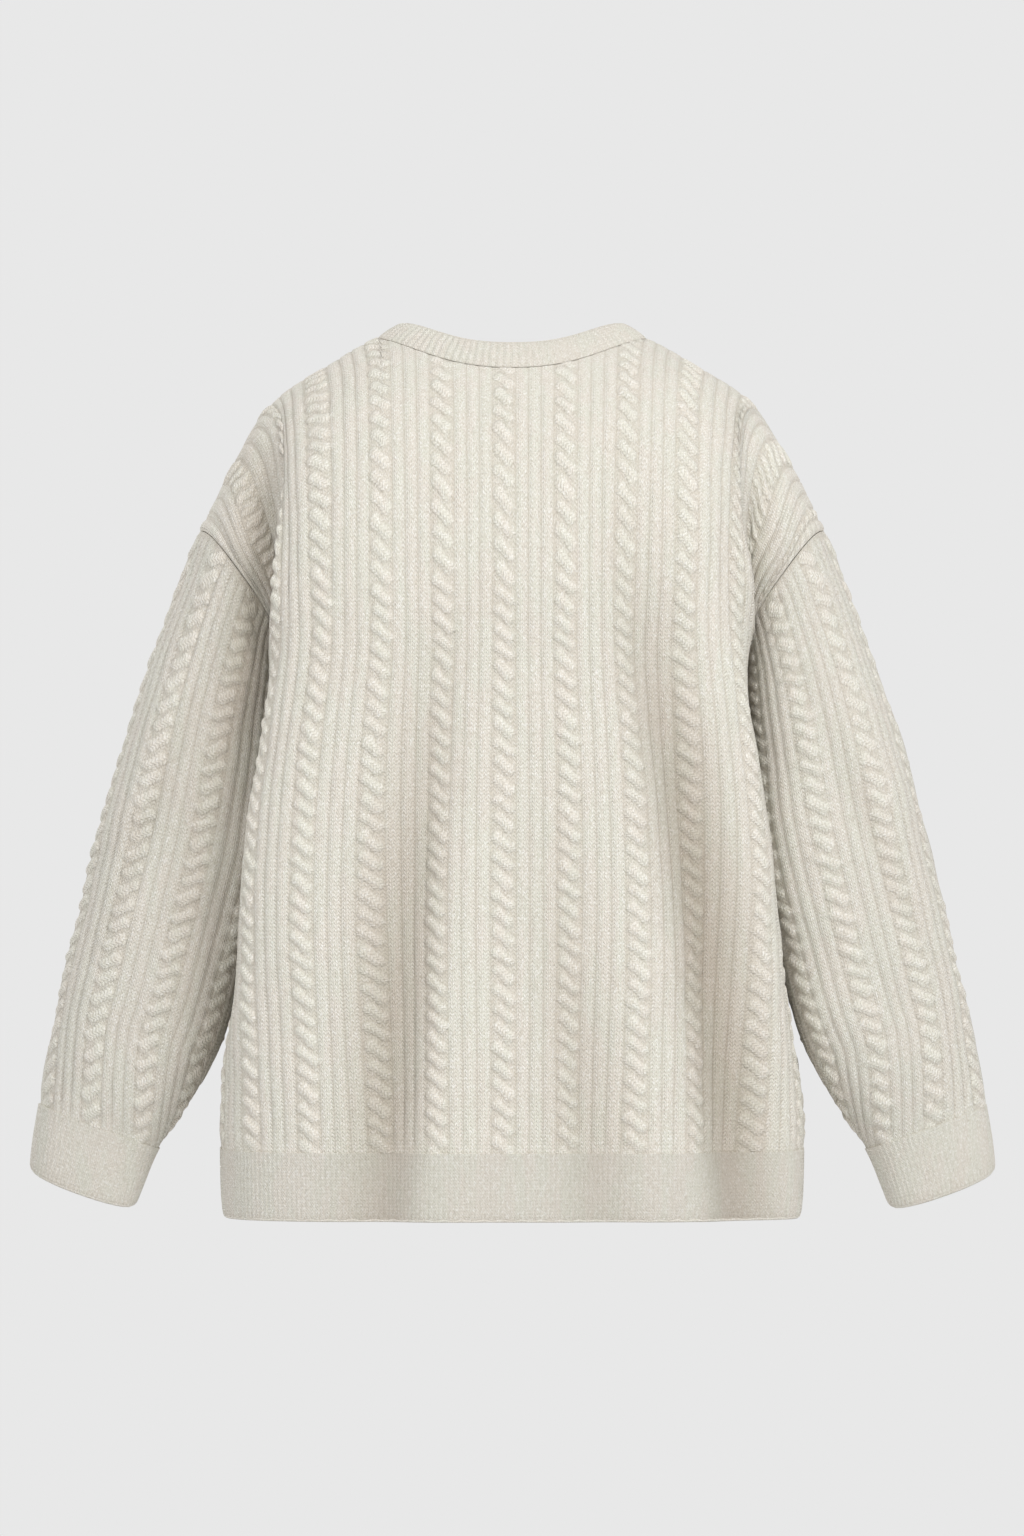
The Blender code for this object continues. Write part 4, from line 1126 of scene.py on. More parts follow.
@dataclass(frozen=True)
class WoolFinish:
    """Heathered wool with its knit stitches, for one kind of piece."""

    name: str
    wool: Colour
    cool: Colour
    light: Colour
    dark: Colour
    flecks: float = 0.80
    wander: float = 0.3
    stitch_depth: float = 0.0009
    strand_depth: float = 1.0
    sheen: float = 0.20
    # Tone scales all its colours; a lower tone on a piece of the same wool is painted shade.
    tone: float = 1.0
    # Shares of painted shade in the stitches' hollows, the rib grooves and the gaps between cable strands.
    hollow_shade: float = 0.22
    groove_shade: float = 0.40
    gap_shade: float = 0.30
    fibre_height: float = 0.7

    def toned(self, colour: Colour) -> tuple[float, float, float, float]:
        """One of its colours, lighter or deeper by its tone."""
        return (*(part * self.tone for part in colour), 1.0)

    def material(self, groups: dict[str, bpy.types.NodeTree]) -> bpy.types.Material:
        """The finish as a material.

        Args:
            groups: The shared node groups by name.

        Returns:
            The material.
        """
        made = bpy.data.materials.new(self.name)
        made.use_nodes = True
        made.node_tree.nodes.clear()
        sheet = Sheet(made.node_tree)
        shader = sheet.fed("BsdfPrincipled", {
            "Sheen Weight": self.sheen,
            "Sheen Roughness": 0.5,
            "Sheen Tint": (1.0, 0.97, 0.92, 1.0),
            "Specular IOR Level": 0.2,
        })
        sheet.fed("OutputMaterial", {"Surface": shader.outputs[0]})
        place = sheet.node("TexCoord").outputs["Object"]
        stitches = sheet.node("UVMap", uv_map="stitches").outputs[0]
        relief = sheet.node("Attribute", attribute_name="relief").outputs["Fac"]
        fold_shade = sheet.node("Attribute", attribute_name="fold_shade").outputs["Fac"]

        colours = {
            "Wool": self.toned(self.wool),
            "Cool tint": self.toned(self.cool),
            "Light fleck": self.toned(self.light),
            "Dark fleck": self.toned(self.dark),
        }
        yarn = sheet.fed("Group", {"Place": place, "Flecks": self.flecks, **colours}, node_tree=groups["yarn"])
        knit = sheet.fed("Group", {"Place": stitches, "Wander": self.wander}, node_tree=groups["stitches"])
        on_cable = sheet.node("UVMap", uv_map="strands").outputs[0]
        strands = sheet.fed("Group", {"Place": on_cable}, node_tree=groups["strands"])
        on_strand = sheet.maths("GREATER_THAN", strands.outputs["Round"], 0.01)
        either = {0: on_strand, 2: knit.outputs["Height"], 3: strands.outputs["Knit"]}
        rows = sheet.fed("Mix", either, data_type="FLOAT").outputs[0]

        # Painted shade: the colour is darkened towards the dark fleck colour in the hollows between stitches.
        hollow = sheet.maths("MULTIPLY", sheet.ranged(rows, 0.05, 0.45, 1.0, 0.0), self.hollow_shade)
        shade = sheet.mixed(hollow, yarn.outputs["Color"], self.toned(self.dark))
        # Painted shade: darker again in the rib grooves and in the gaps between cable strands.
        groove = sheet.ranged(relief, 0.0, 0.75, self.groove_shade, 0.0)
        gap = sheet.maths("MULTIPLY", strands.outputs["Gap"], self.gap_shade)
        groove_and_gap_shade = sheet.maths("MAXIMUM", groove, gap)
        shade = sheet.mixed(groove_and_gap_shade, shade, self.toned(self.dark))
        # Painted shade: the colour is multiplied down where troughs, creases and the torso's left edge would
        # shade the cloth.
        shade = sheet.mixed(fold_shade, shade, PAINTED_SHADE_TINT, "MULTIPLY")
        sheet.put(shade, shader.inputs["Base Color"])
        sheet.put(sheet.ranged(yarn.outputs["Fibre"], 0.3, 0.7, 0.98, 0.82), shader.inputs["Roughness"])
        height = sheet.maths("MULTIPLY_ADD", strands.outputs["Round"], self.strand_depth, rows)
        height = sheet.maths("MULTIPLY_ADD", yarn.outputs["Fibre"], self.fibre_height, height)
        bump = sheet.fed("Bump", {"Strength": 0.8, "Distance": self.stitch_depth, "Height": height})
        sheet.put(bump.outputs[0], shader.inputs["Normal"])
        return made


def off_borders(points: Array) -> Array:
    """Ways off a panel at its sewn borders but the hem's, and zero inside it."""
    way = np.zeros(points.shape)
    way[-1] += unit(points[-1] - points[-2])
    way[:, 0] += unit(points[:, 0] - points[:, 1])
    way[:, -1] += unit(points[:, -1] - points[:, -2])
    return way


@dataclass
class Panel:
    """Back or front of the body, from the hem rib to the shoulder seams."""

    face: Face
    finish: bpy.types.Material
    creases: tuple[Crease, ...] = ()
    cable_place: float = 0.0066
    repeat: float = 0.050
    row_count: int = 340
    band_width: float = 0.0085
    band_rise: float = 0.0017
    band_foot: float = 0.0012
    band_margin: float = 0.0018
    column_gap: float = 0.0007
    edge_fade: float = 0.03
    closing_length: float = 0.05
    lining_wales: int = 54
    lining_rows: int = 40
    neck_turn: float = 0.098
    swell: float = 0.0011
    edge_shade: float = 0.60
    swell_seed: float = 1.0
    end_fade: float = 0.040
    end_relief: float = 0.3
    hem_fade: float = 0.014
    hem_relief: float = 0.4
    underarm_blend: float = 0.012
    beside_band_fade: float = 0.004
    side_fade: float = 0.006
    band_relief: float = 0.4
    surface: Surface = field(init=False)
    knit: CableKnit = field(init=False)

    def __post_init__(self) -> None:
        """Works out the panel's surface and knit."""
        self.surface = panel_surface(self.face)
        self.knit = CableKnit(self.repeat, self.cable_place, self.face.value)

    def wales(self) -> Array:
        """Places across the panel of its columns of points, with the armhole bands' own at its sides."""
        edge, band, neck = CUT.half_width, self.band_width, CUT.neck_half_width
        sides = [edge - band - self.band_foot, *(edge - part * band for part in (1.0, 0.80, 0.5, 0.2, 0.0))]
        fixed = [-u for u in sides] + sides + [-neck, neck]
        reach = edge - band - self.band_margin
        knit = [u for u in self.knit.columns(-reach, reach) if abs(abs(u) - neck) > self.column_gap]
        return np.array(sorted(knit + fixed))

    def base(self, u: Array, v: Array) -> tuple[Array, Array]:
        """The cloth without its knit.

        Args:
            u: Grid of places across.
            v: Grid of places along.

        Returns:
            Points and unit normals, with creases and swells in them.
        """
        points = self.surface.points(u, v)
        seam = (np.abs(u) > CUT.half_width - ON_BORDER) & (v < CUT.underarm_height + ON_BORDER)
        points[seam, 1] = CUT.side_seam_y
        across, up = np.gradient(points, axis=1), np.gradient(points, axis=0)
        normals = self.face.value * unit(np.cross(up, across))
        to_side, to_end = CUT.half_width - np.abs(u), self.cut_off(u) - v
        near_edge = ease(0, self.edge_fade, to_side) * ease(0, self.edge_fade, to_end)
        sink = crease_sink(self.creases, u, v) - self.swell * uneven(u, v, self.swell_seed + self.face.value)
        return points - normals * (sink * near_edge)[..., None], normals

    def cut_off(self, u: Array) -> Array:
        """Where each wale ends."""
        return CUT.neckline(self.face, u)

    def fold_shade(self, u: Array, v: Array) -> Array:
        """Painted shade, from 0 to 1, that the colour gets in the hanging troughs, the creases and beside the
        left armhole.
        """
        trough = sum(drape.gloom(u, v) for drape in DRAPES if drape.face is self.face)
        beside = SIDE_SHADE.lost(self.surface.points(u, v)) * (v > CUT.underarm_height)
        return np.clip(trough + crease_shade(self.creases, u, v) + self.edge_shade * beside, 0, 1)

    def taper(self, u: Array, v: Array) -> Array:
        """Share of the relief left near the shoulder, neck and hem seams."""
        to_hem, to_end = v - CUT.hem_height, self.cut_off(u) - v
        at_end = at_least(self.end_relief, ease(0, self.end_fade, to_end))
        return at_end * at_least(self.hem_relief, ease(0, self.hem_fade, to_hem))

    def relief(self, u: Array, v: Array, points: Array) -> Array:
        """Height of the knit, flattened at the seams and in the band beside the armhole."""
        to_side = CUT.half_width - np.abs(u)
        above = ease(-self.underarm_blend, self.underarm_blend, v - CUT.underarm_height)
        beside_band = ease(self.band_width, self.band_width + self.beside_band_fade, to_side)
        side = ease(0.0, self.side_fade, to_side) * (1 - above) + beside_band * above
        knit = self.knit.height(u, v) * self.taper(u, v) * side * relief_left(points)
        share = np.clip(to_side / self.band_width, 0, 1)
        roll = np.clip(1 - np.abs(2 * share - 1) ** 3, 0, 1) * (to_side < self.band_width)
        return knit + self.band_rise * roll * above * at_least(self.band_relief, relief_left(points))

    def build(self, name: str) -> bpy.types.Object:
        """Makes the panel.

        Args:
            name: Its name.

        Returns:
            The object.
        """
        wales = self.wales()
        shares = np.linspace(0, 1, self.row_count)
        u, v = self.grid(wales, shares)
        points, normals = self.base(u, v)
        height = self.relief(u, v, points)
        shown = height / self.knit.rib_rise / self.taper(u, v)
        raised = points + normals * height[..., None] - off_borders(points) * CUT.seam_gap / 2
        shell = Shell()
        # The outside carries the painted shade of the troughs, the creases and the left armhole.
        outer = shell.add(raised, shown, self.fold_shade(u, v))
        shell.sheet(outer, self.knit.stitches(u, v), KNIT_AREA, self.knit.strands_beside(u, v))

        edge, neck = CUT.half_width, CUT.neck_half_width
        fixed = [-neck, -self.neck_turn, self.neck_turn, neck]
        lining_wales = np.unique(np.round([*np.linspace(-edge, edge, self.lining_wales), *fixed], 6))
        lining_shares = np.linspace(0, 1, self.lining_rows)
        u, v = self.grid(lining_wales, lining_shares)
        points, normals = self.base(u, v)
        sunk = points - normals * CUT.wall - off_borders(points) * CUT.seam_gap / 2
        inner = shell.add(sunk, LINING_RELIEF)
        shell.sheet(inner[:, ::-1], self.knit.stitches(u, v)[:, ::-1], KNIT_LINING_AREA)
        grids = ((inner, lining_wales), (outer, wales))
        shell.rims(*([(ids[end], at) for end in (0, -1)] for ids, at in grids), END_STRIP)
        grids = ((outer, shares), (inner, lining_shares))
        shell.rims(*([(ids[:, end], at) for end in (0, -1)] for ids, at in grids), SIDE_STRIP)
        return finished(shell.make(name), self.finish, name)

    def grid(self, wales: Array, shares: Array) -> tuple[Array, Array]:
        """Grids of u and v: level rows from the hem rib up, then rows that close in on each wale's end."""
        u = np.tile(wales, (len(shares), 1))
        level = CUT.top - CUT.neck_drop(self.face) - self.closing_length
        turning = (level - CUT.hem_height) / (CUT.top - CUT.hem_height)
        share = shares[:, None]
        even = CUT.hem_height + share * (CUT.top - CUT.hem_height)
        closing = level + (share - turning) / (1 - turning) * (self.cut_off(u) - level)
        return u, np.where(share < turning, even, closing)

    def armhole_edge(self, count: int = 120) -> Array:
        """The panel's border from underarm to shoulder seam on the wearer's left, without its gap."""
        v = np.linspace(CUT.underarm_height, CUT.top, count)
        return self.surface.points(np.full(count, CUT.half_width), v)

    def flat_area(self) -> float:
        """Area of the cut, in square metres: a rectangle less the neck."""
        neck = math.pi / 2 * CUT.neck_half_width * CUT.neck_drop(self.face)
        return 2 * CUT.half_width * (CUT.top - CUT.hem_height) - neck


@dataclass
class Sleeve:
    """A sleeve from the armhole to the cuff, its seam under the arm."""

    side: Side
    finish: bpy.types.Material
    surface: Surface
    ring: Array
    creases: tuple[Crease, ...] = ()
    cable_place: float = 0.02175
    repeat: float = 0.0435
    row_count: int = 196
    lining_columns: int = 30
    lining_rows: int = 30
    swell: float = 0.0012
    lining_stitches: int = 40
    edge_shade: float = 0.85
    seam_margin: float = 0.002
    column_gap: float = 0.0012
    under_seam_fade: float = 0.005
    top_fade: float = 0.008
    top_relief: float = 0.15
    end_fade: float = 0.014
    end_relief: float = 0.4
    join_length: float = 0.022
    calm_length: float = 0.02
    calm_share: float = 0.90
    gap_length: float = 0.004

    def build(self, name: str) -> bpy.types.Object:
        """Makes the sleeve.

        Args:
            name: Its name.

        Returns:
            The object.
        """
        length = float(self.surface.rows[-2])
        knit = CableKnit(self.repeat, self.cable_place, -1)
        v = np.linspace(0, length, self.row_count)
        girths = np.minimum.accumulate([half_girth(self.surface, place) for place in v])
        edge, reach = girths[0] + self.seam_margin, girths[0] + self.seam_margin / 2
        wales = np.array([-edge, *knit.columns(-reach, reach), edge])
        around = girths[:, None]
        ended = np.abs(wales) > around - self.column_gap
        w = np.where(ended, np.sign(wales) * around, np.clip(wales, -around, around))
        share, rows = w / around, np.broadcast_to(v[:, None], w.shape)
        points, normals = self.base(share, rows, w)
        edges = ease(0, self.under_seam_fade, around - np.abs(w))
        edges = edges * at_least(self.top_relief, ease(0, self.top_fade, rows))
        height = knit.height(w, rows) * edges * relief_left(points)
        taper = at_least(self.end_relief, ease(0, self.end_fade, length - rows))
        shell = Shell()
        # Painted shade of the creases, and on the left sleeve the torso's shadow beside its edge.
        fold_shade = crease_shade(self.creases, w, rows)
        if self.side is Side.LEFT:
            fold_shade = np.clip(fold_shade + self.edge_shade * SIDE_SHADE.lost(points), 0, 1)
        outer = shell.add(points + normals * (height * taper)[..., None], height / knit.rib_rise, fold_shade)
        outer = np.where(ended, outer[:, :1], outer)
        across = np.broadcast_to(wales, w.shape)
        shell.sheet(outer, knit.stitches(across, rows), KNIT_AREA, knit.strands_beside(across, rows))

        lining_share = np.linspace(-1, 1, self.lining_columns + 1)
        s, r = np.meshgrid(lining_share, np.linspace(0, length, self.lining_rows))
        lining, lining_normals = self.base(s, r, s * np.interp(r, v, girths))
        inner = shell.add(lining - lining_normals * CUT.wall, LINING_RELIEF)
        inner[:, -1] = inner[:, 0]
        places = np.stack([s * self.lining_stitches, r / knit.row_height], -1)
        shell.sheet(inner[:, ::-1], places[:, ::-1], KNIT_LINING_AREA)
        used = [np.concatenate([[True], ~ended[end][1:-1], [True]]) for end in (0, -1)]
        shell.rims(
            [(inner[end], lining_share) for end in (0, -1)],
            [(outer[end][use], share[end][use]) for end, use in zip((0, -1), used)],
            SLEEVE_STRIP,
        )
        obj = shell.make(name, self.side is Side.RIGHT)
        return finished(obj, self.finish, name)

    def base(self, share: Array, v: Array, w: Array) -> tuple[Array, Array]:
        """The sleeve without its knit, joined to the armhole's edge at its top.

        Args:
            share: Shares of the half girth.
            v: Places down the sleeve.
            w: The same as share, in metres.

        Returns:
            Points and unit normals.
        """
        points = self.surface.points(share, v)
        normals = self.surface.normals(share, v, SLEEVE_STEP)
        at = (np.clip(share, -1, 1) + 1) / 2
        seam = by_length(self.ring, at.ravel()).reshape(points.shape)
        moved = seam - self.surface.points(share, np.zeros(v.shape))
        points = points + moved * (1 - ease(0, self.join_length, v))[..., None]
        sink = crease_sink(self.creases, w, v) - self.swell * uneven(w, v, SWELL_SEEDS[self.side])
        sink = sink * ease(0, self.calm_length, v) * ease(-1.0, -self.calm_share, -np.abs(share))
        down = unit(self.surface.points(share, v + self.gap_length) - self.surface.points(share, v))
        gap = CUT.seam_gap * (1 - ease(0, self.gap_length, v))
        return points - normals * sink[..., None] + down * gap[..., None], normals


class RibBand:
    """What cuffs, hem rib and neckband share: a finely ribbed ring with a plain lining."""

    rib: FineRib
    lining_columns: int

    def at(self, share: Array, v: Array, rise: Array) -> Array:
        """Points at shares of the way round, places along the band and heights over its cloth."""
        raise NotImplementedError

    def ring(
        self,
        share: Array,
        v: Array,
        rise: Array,
        level: Array,
        fold_shade: Array | float = 0.0,
        rows: Array | None = None,
    ) -> Shell:
        """The band as a closed shell.

        Args:
            share: Grid of shares of the way round, from the sewn edge to the open one.
            v: Places along the band.
            rise: Heights of the rib over the cloth.
            level: Places along the band of the lining's rows, from the open edge back.
            fold_shade: Painted shade on the outside, from 0 to 1.
            rows: Knit rows at those levels, if not counted as on the outside.

        Returns:
            The shell.
        """
        shell = Shell()
        outer = shell.add(self.at(share, v, rise), rise / self.rib.rise, fold_shade)
        outer[:, -1] = outer[:, 0]
        shell.sheet(outer, self.rib.stitches(share, v), RIB_AREA)
        around = np.linspace(0, 1, self.lining_columns + 1)
        t, height = np.meshgrid(around, level)
        sink = np.array(LINING_SINKS)[:, None] * CUT.wall * np.ones(t.shape)
        inner = shell.add(self.at(t, height, -sink), LINING_RELIEF)
        inner[:, -1] = inner[:, 0]
        places = self.rib.stitches(t, height)
        if rows is not None:
            places[..., 1] = rows[:, None]
        shell.sheet(inner, places, RIB_LINING_AREA)
        shell.seam(outer[-1], share[-1], inner[0], around, RIB_EDGE_AREA)
        shell.seam(inner[-1], around, outer[0], share[0], RIB_SEAM_AREA)
        return shell


@dataclass
class Cuff(RibBand):
    """Finely ribbed cuff below a sleeve, open at its end."""

    side: Side
    finish: bpy.types.Material
    surface: Surface
    rib: FineRib = FineRib(count=66, rise=0.0007)
    rows: int = 15
    last_row: float = 0.95
    rib_end: float = 0.9
    puff: float = 0.0010
    puff_end: float = 0.5
    lining_columns: int = 30
    lining_rows: tuple[float, ...] = (0.985, 1.0, 0.985, 0.93, 0.6, 0.3, 0.0)
    lining_stitches: int = 18

    def build(self, name: str) -> bpy.types.Object:
        """Makes the cuff.

        Args:
            name: Its name.

        Returns:
            The object.
        """
        start, end = float(self.surface.rows[-2]), float(self.surface.rows[-1])
        share, part = np.meshgrid(self.rib.shares(), np.linspace(0.0, self.last_row, self.rows))
        v = start + part * (end - start)
        rise = self.rib.height(share, v) * ease(1.0, self.rib_end, part)
        rise = rise + self.puff * ease(1.0, self.puff_end, part)
        level = np.array(self.lining_rows)
        shell = self.ring(share, v, rise, start + level * (end - start), rows=-level * self.lining_stitches)
        return finished(shell.make(name, self.side is Side.RIGHT), self.finish, name)

    def at(self, share: Array, v: Array, rise: Array) -> Array:
        """Points of the cuff at a height over its cloth."""
        return self.surface.raised(share * 2 - 1, v, rise, SLEEVE_STEP)


@dataclass
class HemRib(RibBand):
    """Finely ribbed band round the hem, open at its end."""

    back: Panel
    front: Panel
    finish: bpy.types.Material
    rib: FineRib = FineRib(count=310, rise=0.0007)
    rows: int = 16
    last_row: float = 0.0028
    rib_end: float = 0.006
    puff: float = 0.0008
    puff_end: float = 0.02
    lining_columns: int = 108
    lining_rows: tuple[float, ...] = (0.0008, 0.0, 0.0008, 0.003, 0.018, 0.036, CUT.hem_height)

    def build(self, name: str) -> bpy.types.Object:
        """Makes the band.

        Args:
            name: Its name.

        Returns:
            The object.
        """
        share, v = np.meshgrid(self.rib.shares(), np.linspace(CUT.hem_height, self.last_row, self.rows))
        rise = self.rib.height(share, v) * ease(0.0, self.rib_end, v) + self.puff * ease(0.0, self.puff_end, v)
        u = self.place(share)
        # The panels' painted shade, carried on down the hem rib.
        fold_shade = np.where(share <= 0.5, self.back.fold_shade(u, v), self.front.fold_shade(u, v))
        shell = self.ring(share, v, rise, np.array(self.lining_rows), fold_shade)
        return finished(shell.make(name), self.finish, name)

    def place(self, share: Array) -> Array:
        """Places across the panels, from the left side seam over the back and on over the front."""
        return CUT.half_width * np.where(share <= 0.5, 1 - 4 * share, 4 * share - 3)

    def at(self, share: Array, v: Array, rise: Array) -> Array:
        """Points of the band at a height over its cloth."""
        back, front = (panel.surface.raised(self.place(share), v, rise) for panel in (self.back, self.front))
        return np.where(share[..., None] <= 0.5, back, front)


@dataclass
class Neckband(RibBand):
    """Ribbed band that stands up round the neck and leans in over it."""

    back: Panel
    front: Panel
    finish: bpy.types.Material
    height: float = 0.024
    rib: FineRib = FineRib(count=106, rise=0.0011, columns_each=6)
    rows: int = 14
    foot: float = 0.0006
    below_top: float = 0.0016
    foot_relief: float = 0.35
    foot_fade: float = 0.003
    top_fade: float = 0.004
    puff: float = 0.0010
    lining_columns: int = 60
    lining_fold: float = 0.0004
    lining_rows: tuple[float, ...] = (0.021, 0.014, 0.007, 0.0006)
    lean_blend: float = 0.4
    lean_at_side: float = 0.86
    lean_at_back: float = 0.48
    lean_at_front: float = 0.60
    line: Array = field(init=False)

    def __post_init__(self) -> None:
        """Works out the neck seam in even steps."""
        self.line = by_length(self.seam_line(), np.linspace(0, 1, NECK_POINTS))

    def seam_line(self, count: int = 240) -> Array:
        """The neck seam from the left neck point round the back and on round the front."""
        turn = np.linspace(0, math.pi, count)
        u = CUT.neck_half_width * np.cos(turn)
        halves = []
        for panel, places in ((self.back, u), (self.front, u[::-1])):
            halves.append(panel.surface.points(places, CUT.neckline(panel.face, places)))
        return np.concatenate([halves[0], halves[1][1:]])

    def build(self, name: str) -> bpy.types.Object:
        """Makes the band.

        Args:
            name: Its name.

        Returns:
            The object.
        """
        top = self.height
        share, up = np.meshgrid(self.rib.shares(), np.linspace(self.foot, top - self.below_top, self.rows))
        rise = self.rib.height(share, up) * at_least(self.foot_relief, ease(0, self.foot_fade, up))
        rise = rise * ease(top, top - self.top_fade, up)
        rise = rise + self.puff * np.sin(math.pi * np.clip(up / top, 0, 1))
        level = np.array([top - self.lining_fold, top, top - self.lining_fold, *self.lining_rows])
        shell = self.ring(share, up, rise, level)
        return finished(shell.make(name), self.finish, name)

    def at(self, share: Array, up: Array, rise: Array) -> Array:
        """Points of the band.

        Args:
            share: Shares of the neck seam's length.
            up: Distances up the band.
            rise: Heights over its cloth.

        Returns:
            The points.
        """
        base = by_length(self.line, share.ravel()).reshape(*share.shape, 3)
        outward = base - self.line.mean(axis=0)
        turn = np.arctan2(outward[..., 1], outward[..., 0])
        sideways = np.cos(turn) ** 2
        back = ease(-self.lean_blend, self.lean_blend, np.sin(turn))
        middle_lean = self.lean_at_back * back + self.lean_at_front * (1 - back)
        lean = self.lean_at_side * sideways + middle_lean * (1 - sideways)
        upright = np.sqrt(1 - lean**2)
        inward = -unit(outward * (1, 1, 0))
        rising = inward * lean[..., None] + np.array([0, 0, 1]) * upright[..., None]
        out = -inward * upright[..., None] + np.array([0, 0, 1]) * lean[..., None]
        return base + rising * up[..., None] + out * rise[..., None]


def finished(obj: bpy.types.Object, material: bpy.types.Material, node: str) -> bpy.types.Object:
    """Dresses a piece and ties it to the frame.

    Args:
        obj: The piece.
        material: Its finish.
        node: The node that it stands for.

    Returns:
        The piece.
    """
    turned_out(obj)
    obj.name = f"knit_{node}"
    obj.data.materials.append(material)
    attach(obj, "root")
    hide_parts(node)
    log.info("%s: %d faces", obj.name, len(obj.data.polygons))
    return obj


@dataclass(frozen=True)
class SoftLight:
    """A large soft studio light."""

    name: str
    place: tuple[float, float, float]
    size: float
    power: float
    aim: tuple[float, float, float] = (0.0, 0.0, -0.32)

    def build(self) -> bpy.types.Object:
        """Makes the light."""
        lamp = bpy.data.lights.new(self.name, "AREA")
        lamp.shape = "DISK"
        lamp.size = self.size
        lamp.energy = self.power
        obj = placed(self.name, lamp)
        obj.location = self.place
        obj.rotation_euler = (Vector(self.aim) - Vector(self.place)).to_track_quat("-Z", "Y").to_euler()
        return obj


@dataclass(frozen=True)
class Studio:
    """Plain pale floor and air, soft lights, and the camera behind the wearer."""

    pale: float = 0.807
    ambient: float = 0.76
    floor_height: float = -1.16
    floor_radius: float = 1.15
    metres_high: float = 1.198
    centre_height: float = -0.3353
    lens: float = 200.0
    sensor: float = 36.0

    def build(self) -> None:
        """Makes the studio."""
        self.build_air()
        self.build_floor()
        for light in (
            SoftLight("key_light", (-2.0, 2.8, 0.9), 1.2, 45.0),
            SoftLight("side_light", (1.3, 3.0, -0.1), 1.6, 5.0),
            SoftLight("top_light", (0.6, 2.7, 1.9), 2.0, 25.0),
            SoftLight("front_light", (1.8, -2.6, 1.2), 2.0, 24.0),
        ):
            light.build()
        camera = bpy.data.cameras.new("camera")
        camera.lens = self.lens
        camera.sensor_width = self.sensor
        obj = placed("camera", camera)
        obj.location = (0.0, self.metres_high * self.lens / self.sensor, self.centre_height)
        obj.rotation_euler = (math.pi / 2, 0.0, math.pi)
        bpy.context.scene.camera = obj
        bpy.context.scene.view_settings.view_transform = "Standard"

    def build_air(self) -> None:
        """Pale surroundings, a little dimmer as light than they look."""
        world = bpy.data.worlds.new("studio_air")
        bpy.context.scene.world = world
        world.use_nodes = True
        world.node_tree.nodes.clear()
        sheet = Sheet(world.node_tree)
        greys = [(tone, tone, tone, 1.0) for tone in (self.ambient, self.pale)]
        lit, seen = (sheet.fed("Background", {"Color": grey}).outputs[0] for grey in greys)
        by_camera = sheet.node("LightPath").outputs["Is Camera Ray"]
        mix = sheet.fed("MixShader", {0: by_camera, 1: lit, 2: seen})
        sheet.fed("OutputWorld", {"Surface": mix.outputs[0]})

    def build_floor(self) -> None:
        """A pale round floor below the sweater."""
        turns = np.linspace(0, 2 * math.pi, 97)[:-1]
        radius, height = self.floor_radius, self.floor_height
        rim = [(radius * math.cos(a), radius * math.sin(a), height) for a in turns]
        mesh = bpy.data.meshes.new("floor")
        mesh.from_pydata(rim, [], [tuple(range(len(rim)))])
        material = bpy.data.materials.new("pale_floor")
        material.use_nodes = True
        shader = material.node_tree.nodes["Principled BSDF"]
        shader.inputs["Base Color"].default_value = (0.80, 0.80, 0.80, 1.0)
        shader.inputs["Roughness"].default_value = 0.9
        mesh.materials.append(material)
        placed("floor", mesh)


BODY_WOOL = dict(
    wool=(0.815, 0.765, 0.680),
    cool=(0.795, 0.775, 0.680),
    light=(0.985, 0.965, 0.920),
    dark=(0.600, 0.540, 0.450),
)


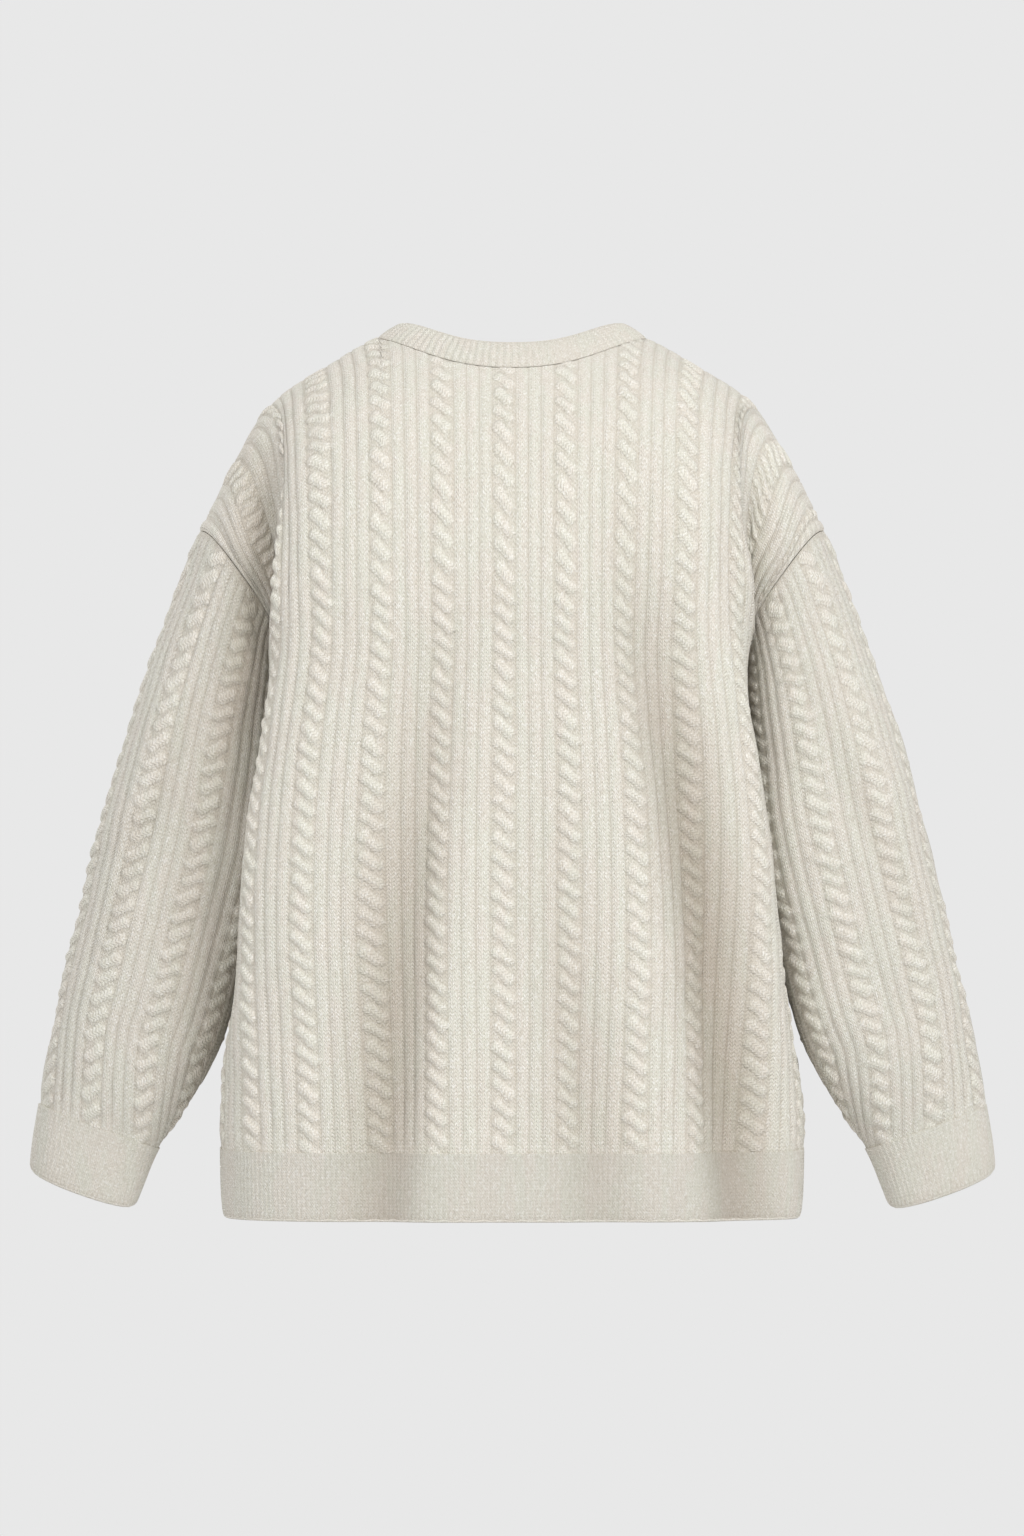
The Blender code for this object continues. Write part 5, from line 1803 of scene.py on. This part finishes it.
@dataclass
class Sweater:
    """The whole sweater: two panels, two sleeves, neckband, hem rib and two cuffs."""

    back_creases: tuple[Crease, ...] = (
        Crease((0.204, 0.620), (0.240, 0.440), 0.018, 0.0055),
        Crease((-0.206, 0.615), (-0.238, 0.445), 0.017, 0.0035),
        Crease((0.165, 0.600), (0.200, 0.360), 0.022, -0.0030),
        Crease((-0.150, 0.600), (-0.205, 0.330), 0.024, -0.0030),
    )
    front_creases: tuple[Crease, ...] = (
        Crease((-0.204, 0.620), (-0.240, 0.442), 0.018, 0.0050),
        Crease((0.206, 0.615), (0.238, 0.445), 0.017, 0.0045),
        Crease((0.160, 0.590), (0.198, 0.350), 0.023, -0.0028),
    )
    left_creases: tuple[Crease, ...] = (
        Crease((0.096, 0.030), (0.050, 0.330), 0.016, 0.0034),
        Crease((0.030, 0.110), (0.010, 0.370), 0.015, -0.0022),
        Crease((0.075, 0.190), (0.020, 0.255), 0.013, 0.0016),
        Crease((-0.100, 0.040), (-0.050, 0.320), 0.016, 0.0032),
        Crease((-0.120, 0.220), (-0.055, 0.270), 0.013, 0.0018),
    )
    right_creases: tuple[Crease, ...] = (
        Crease((0.104, 0.050), (0.046, 0.350), 0.016, 0.0026),
        Crease((0.010, 0.080), (0.000, 0.300), 0.015, -0.0020),
        Crease((-0.104, 0.050), (-0.045, 0.340), 0.017, 0.0032),
        Crease((-0.112, 0.250), (-0.040, 0.290), 0.013, 0.0018),
    )

    def build(self) -> None:
        """Makes the pieces in the order in which they are sewn."""
        stitches = stitch_group()
        groups = {"yarn": yarn_group(), "stitches": stitches, "strands": strand_group(stitches)}
        # Painted shade: the sleeves and ribbed bands are the body's wool at lower tones, so that they come out
        # darker as if less lit.
        cables = WoolFinish("cable_wool", **BODY_WOOL, tone=0.93, strand_depth=0.85).material(groups)
        shaded_sleeve_cables = WoolFinish("sleeve_wool", **BODY_WOOL, tone=0.89, strand_depth=0.85).material(groups)
        ribs = WoolFinish("rib_wool_painted_shade", **BODY_WOOL, tone=0.86, flecks=0.65, stitch_depth=0.0007).material(groups)
        back = Panel(Face.BACK, cables, self.back_creases)
        front = Panel(Face.FRONT, cables, self.front_creases)
        for panel, name in ((back, "back"), (front, "front")):
            piece = panel.build(name)
            length = CUT.top - CUT.hem_height
            panel.flat_area()
        ring = np.concatenate([front.armhole_edge(), back.armhole_edge()[::-1][1:]])
        for side, creases in ((Side.LEFT, self.left_creases), (Side.RIGHT, self.right_creases)):
            name = side.name.lower()
            surface = sleeve_surface(side)
            length = float(surface.rows[-2])
            girth, cuff_girth = 2 * half_girth(surface, 0.0), 2 * half_girth(surface, length)
            piece = Sleeve(side, shaded_sleeve_cables, surface, ring, creases).build(f"sleeve_{name}")
            piece = Cuff(side, ribs, surface).build(f"cuff_{name}")
        band = Neckband(back, front, ribs)
        piece = band.build("neckband")
        float(along(band.seam_line())[-1])
        piece = HemRib(back, front, ribs).build("hem_rib")


def main() -> None:
    """Builds the studio and the sweater."""
    logging.basicConfig(level=logging.INFO, format="%(name)s %(message)s")
    Studio().build()
    Sweater().build()


if __name__ == "__main__":
    main()
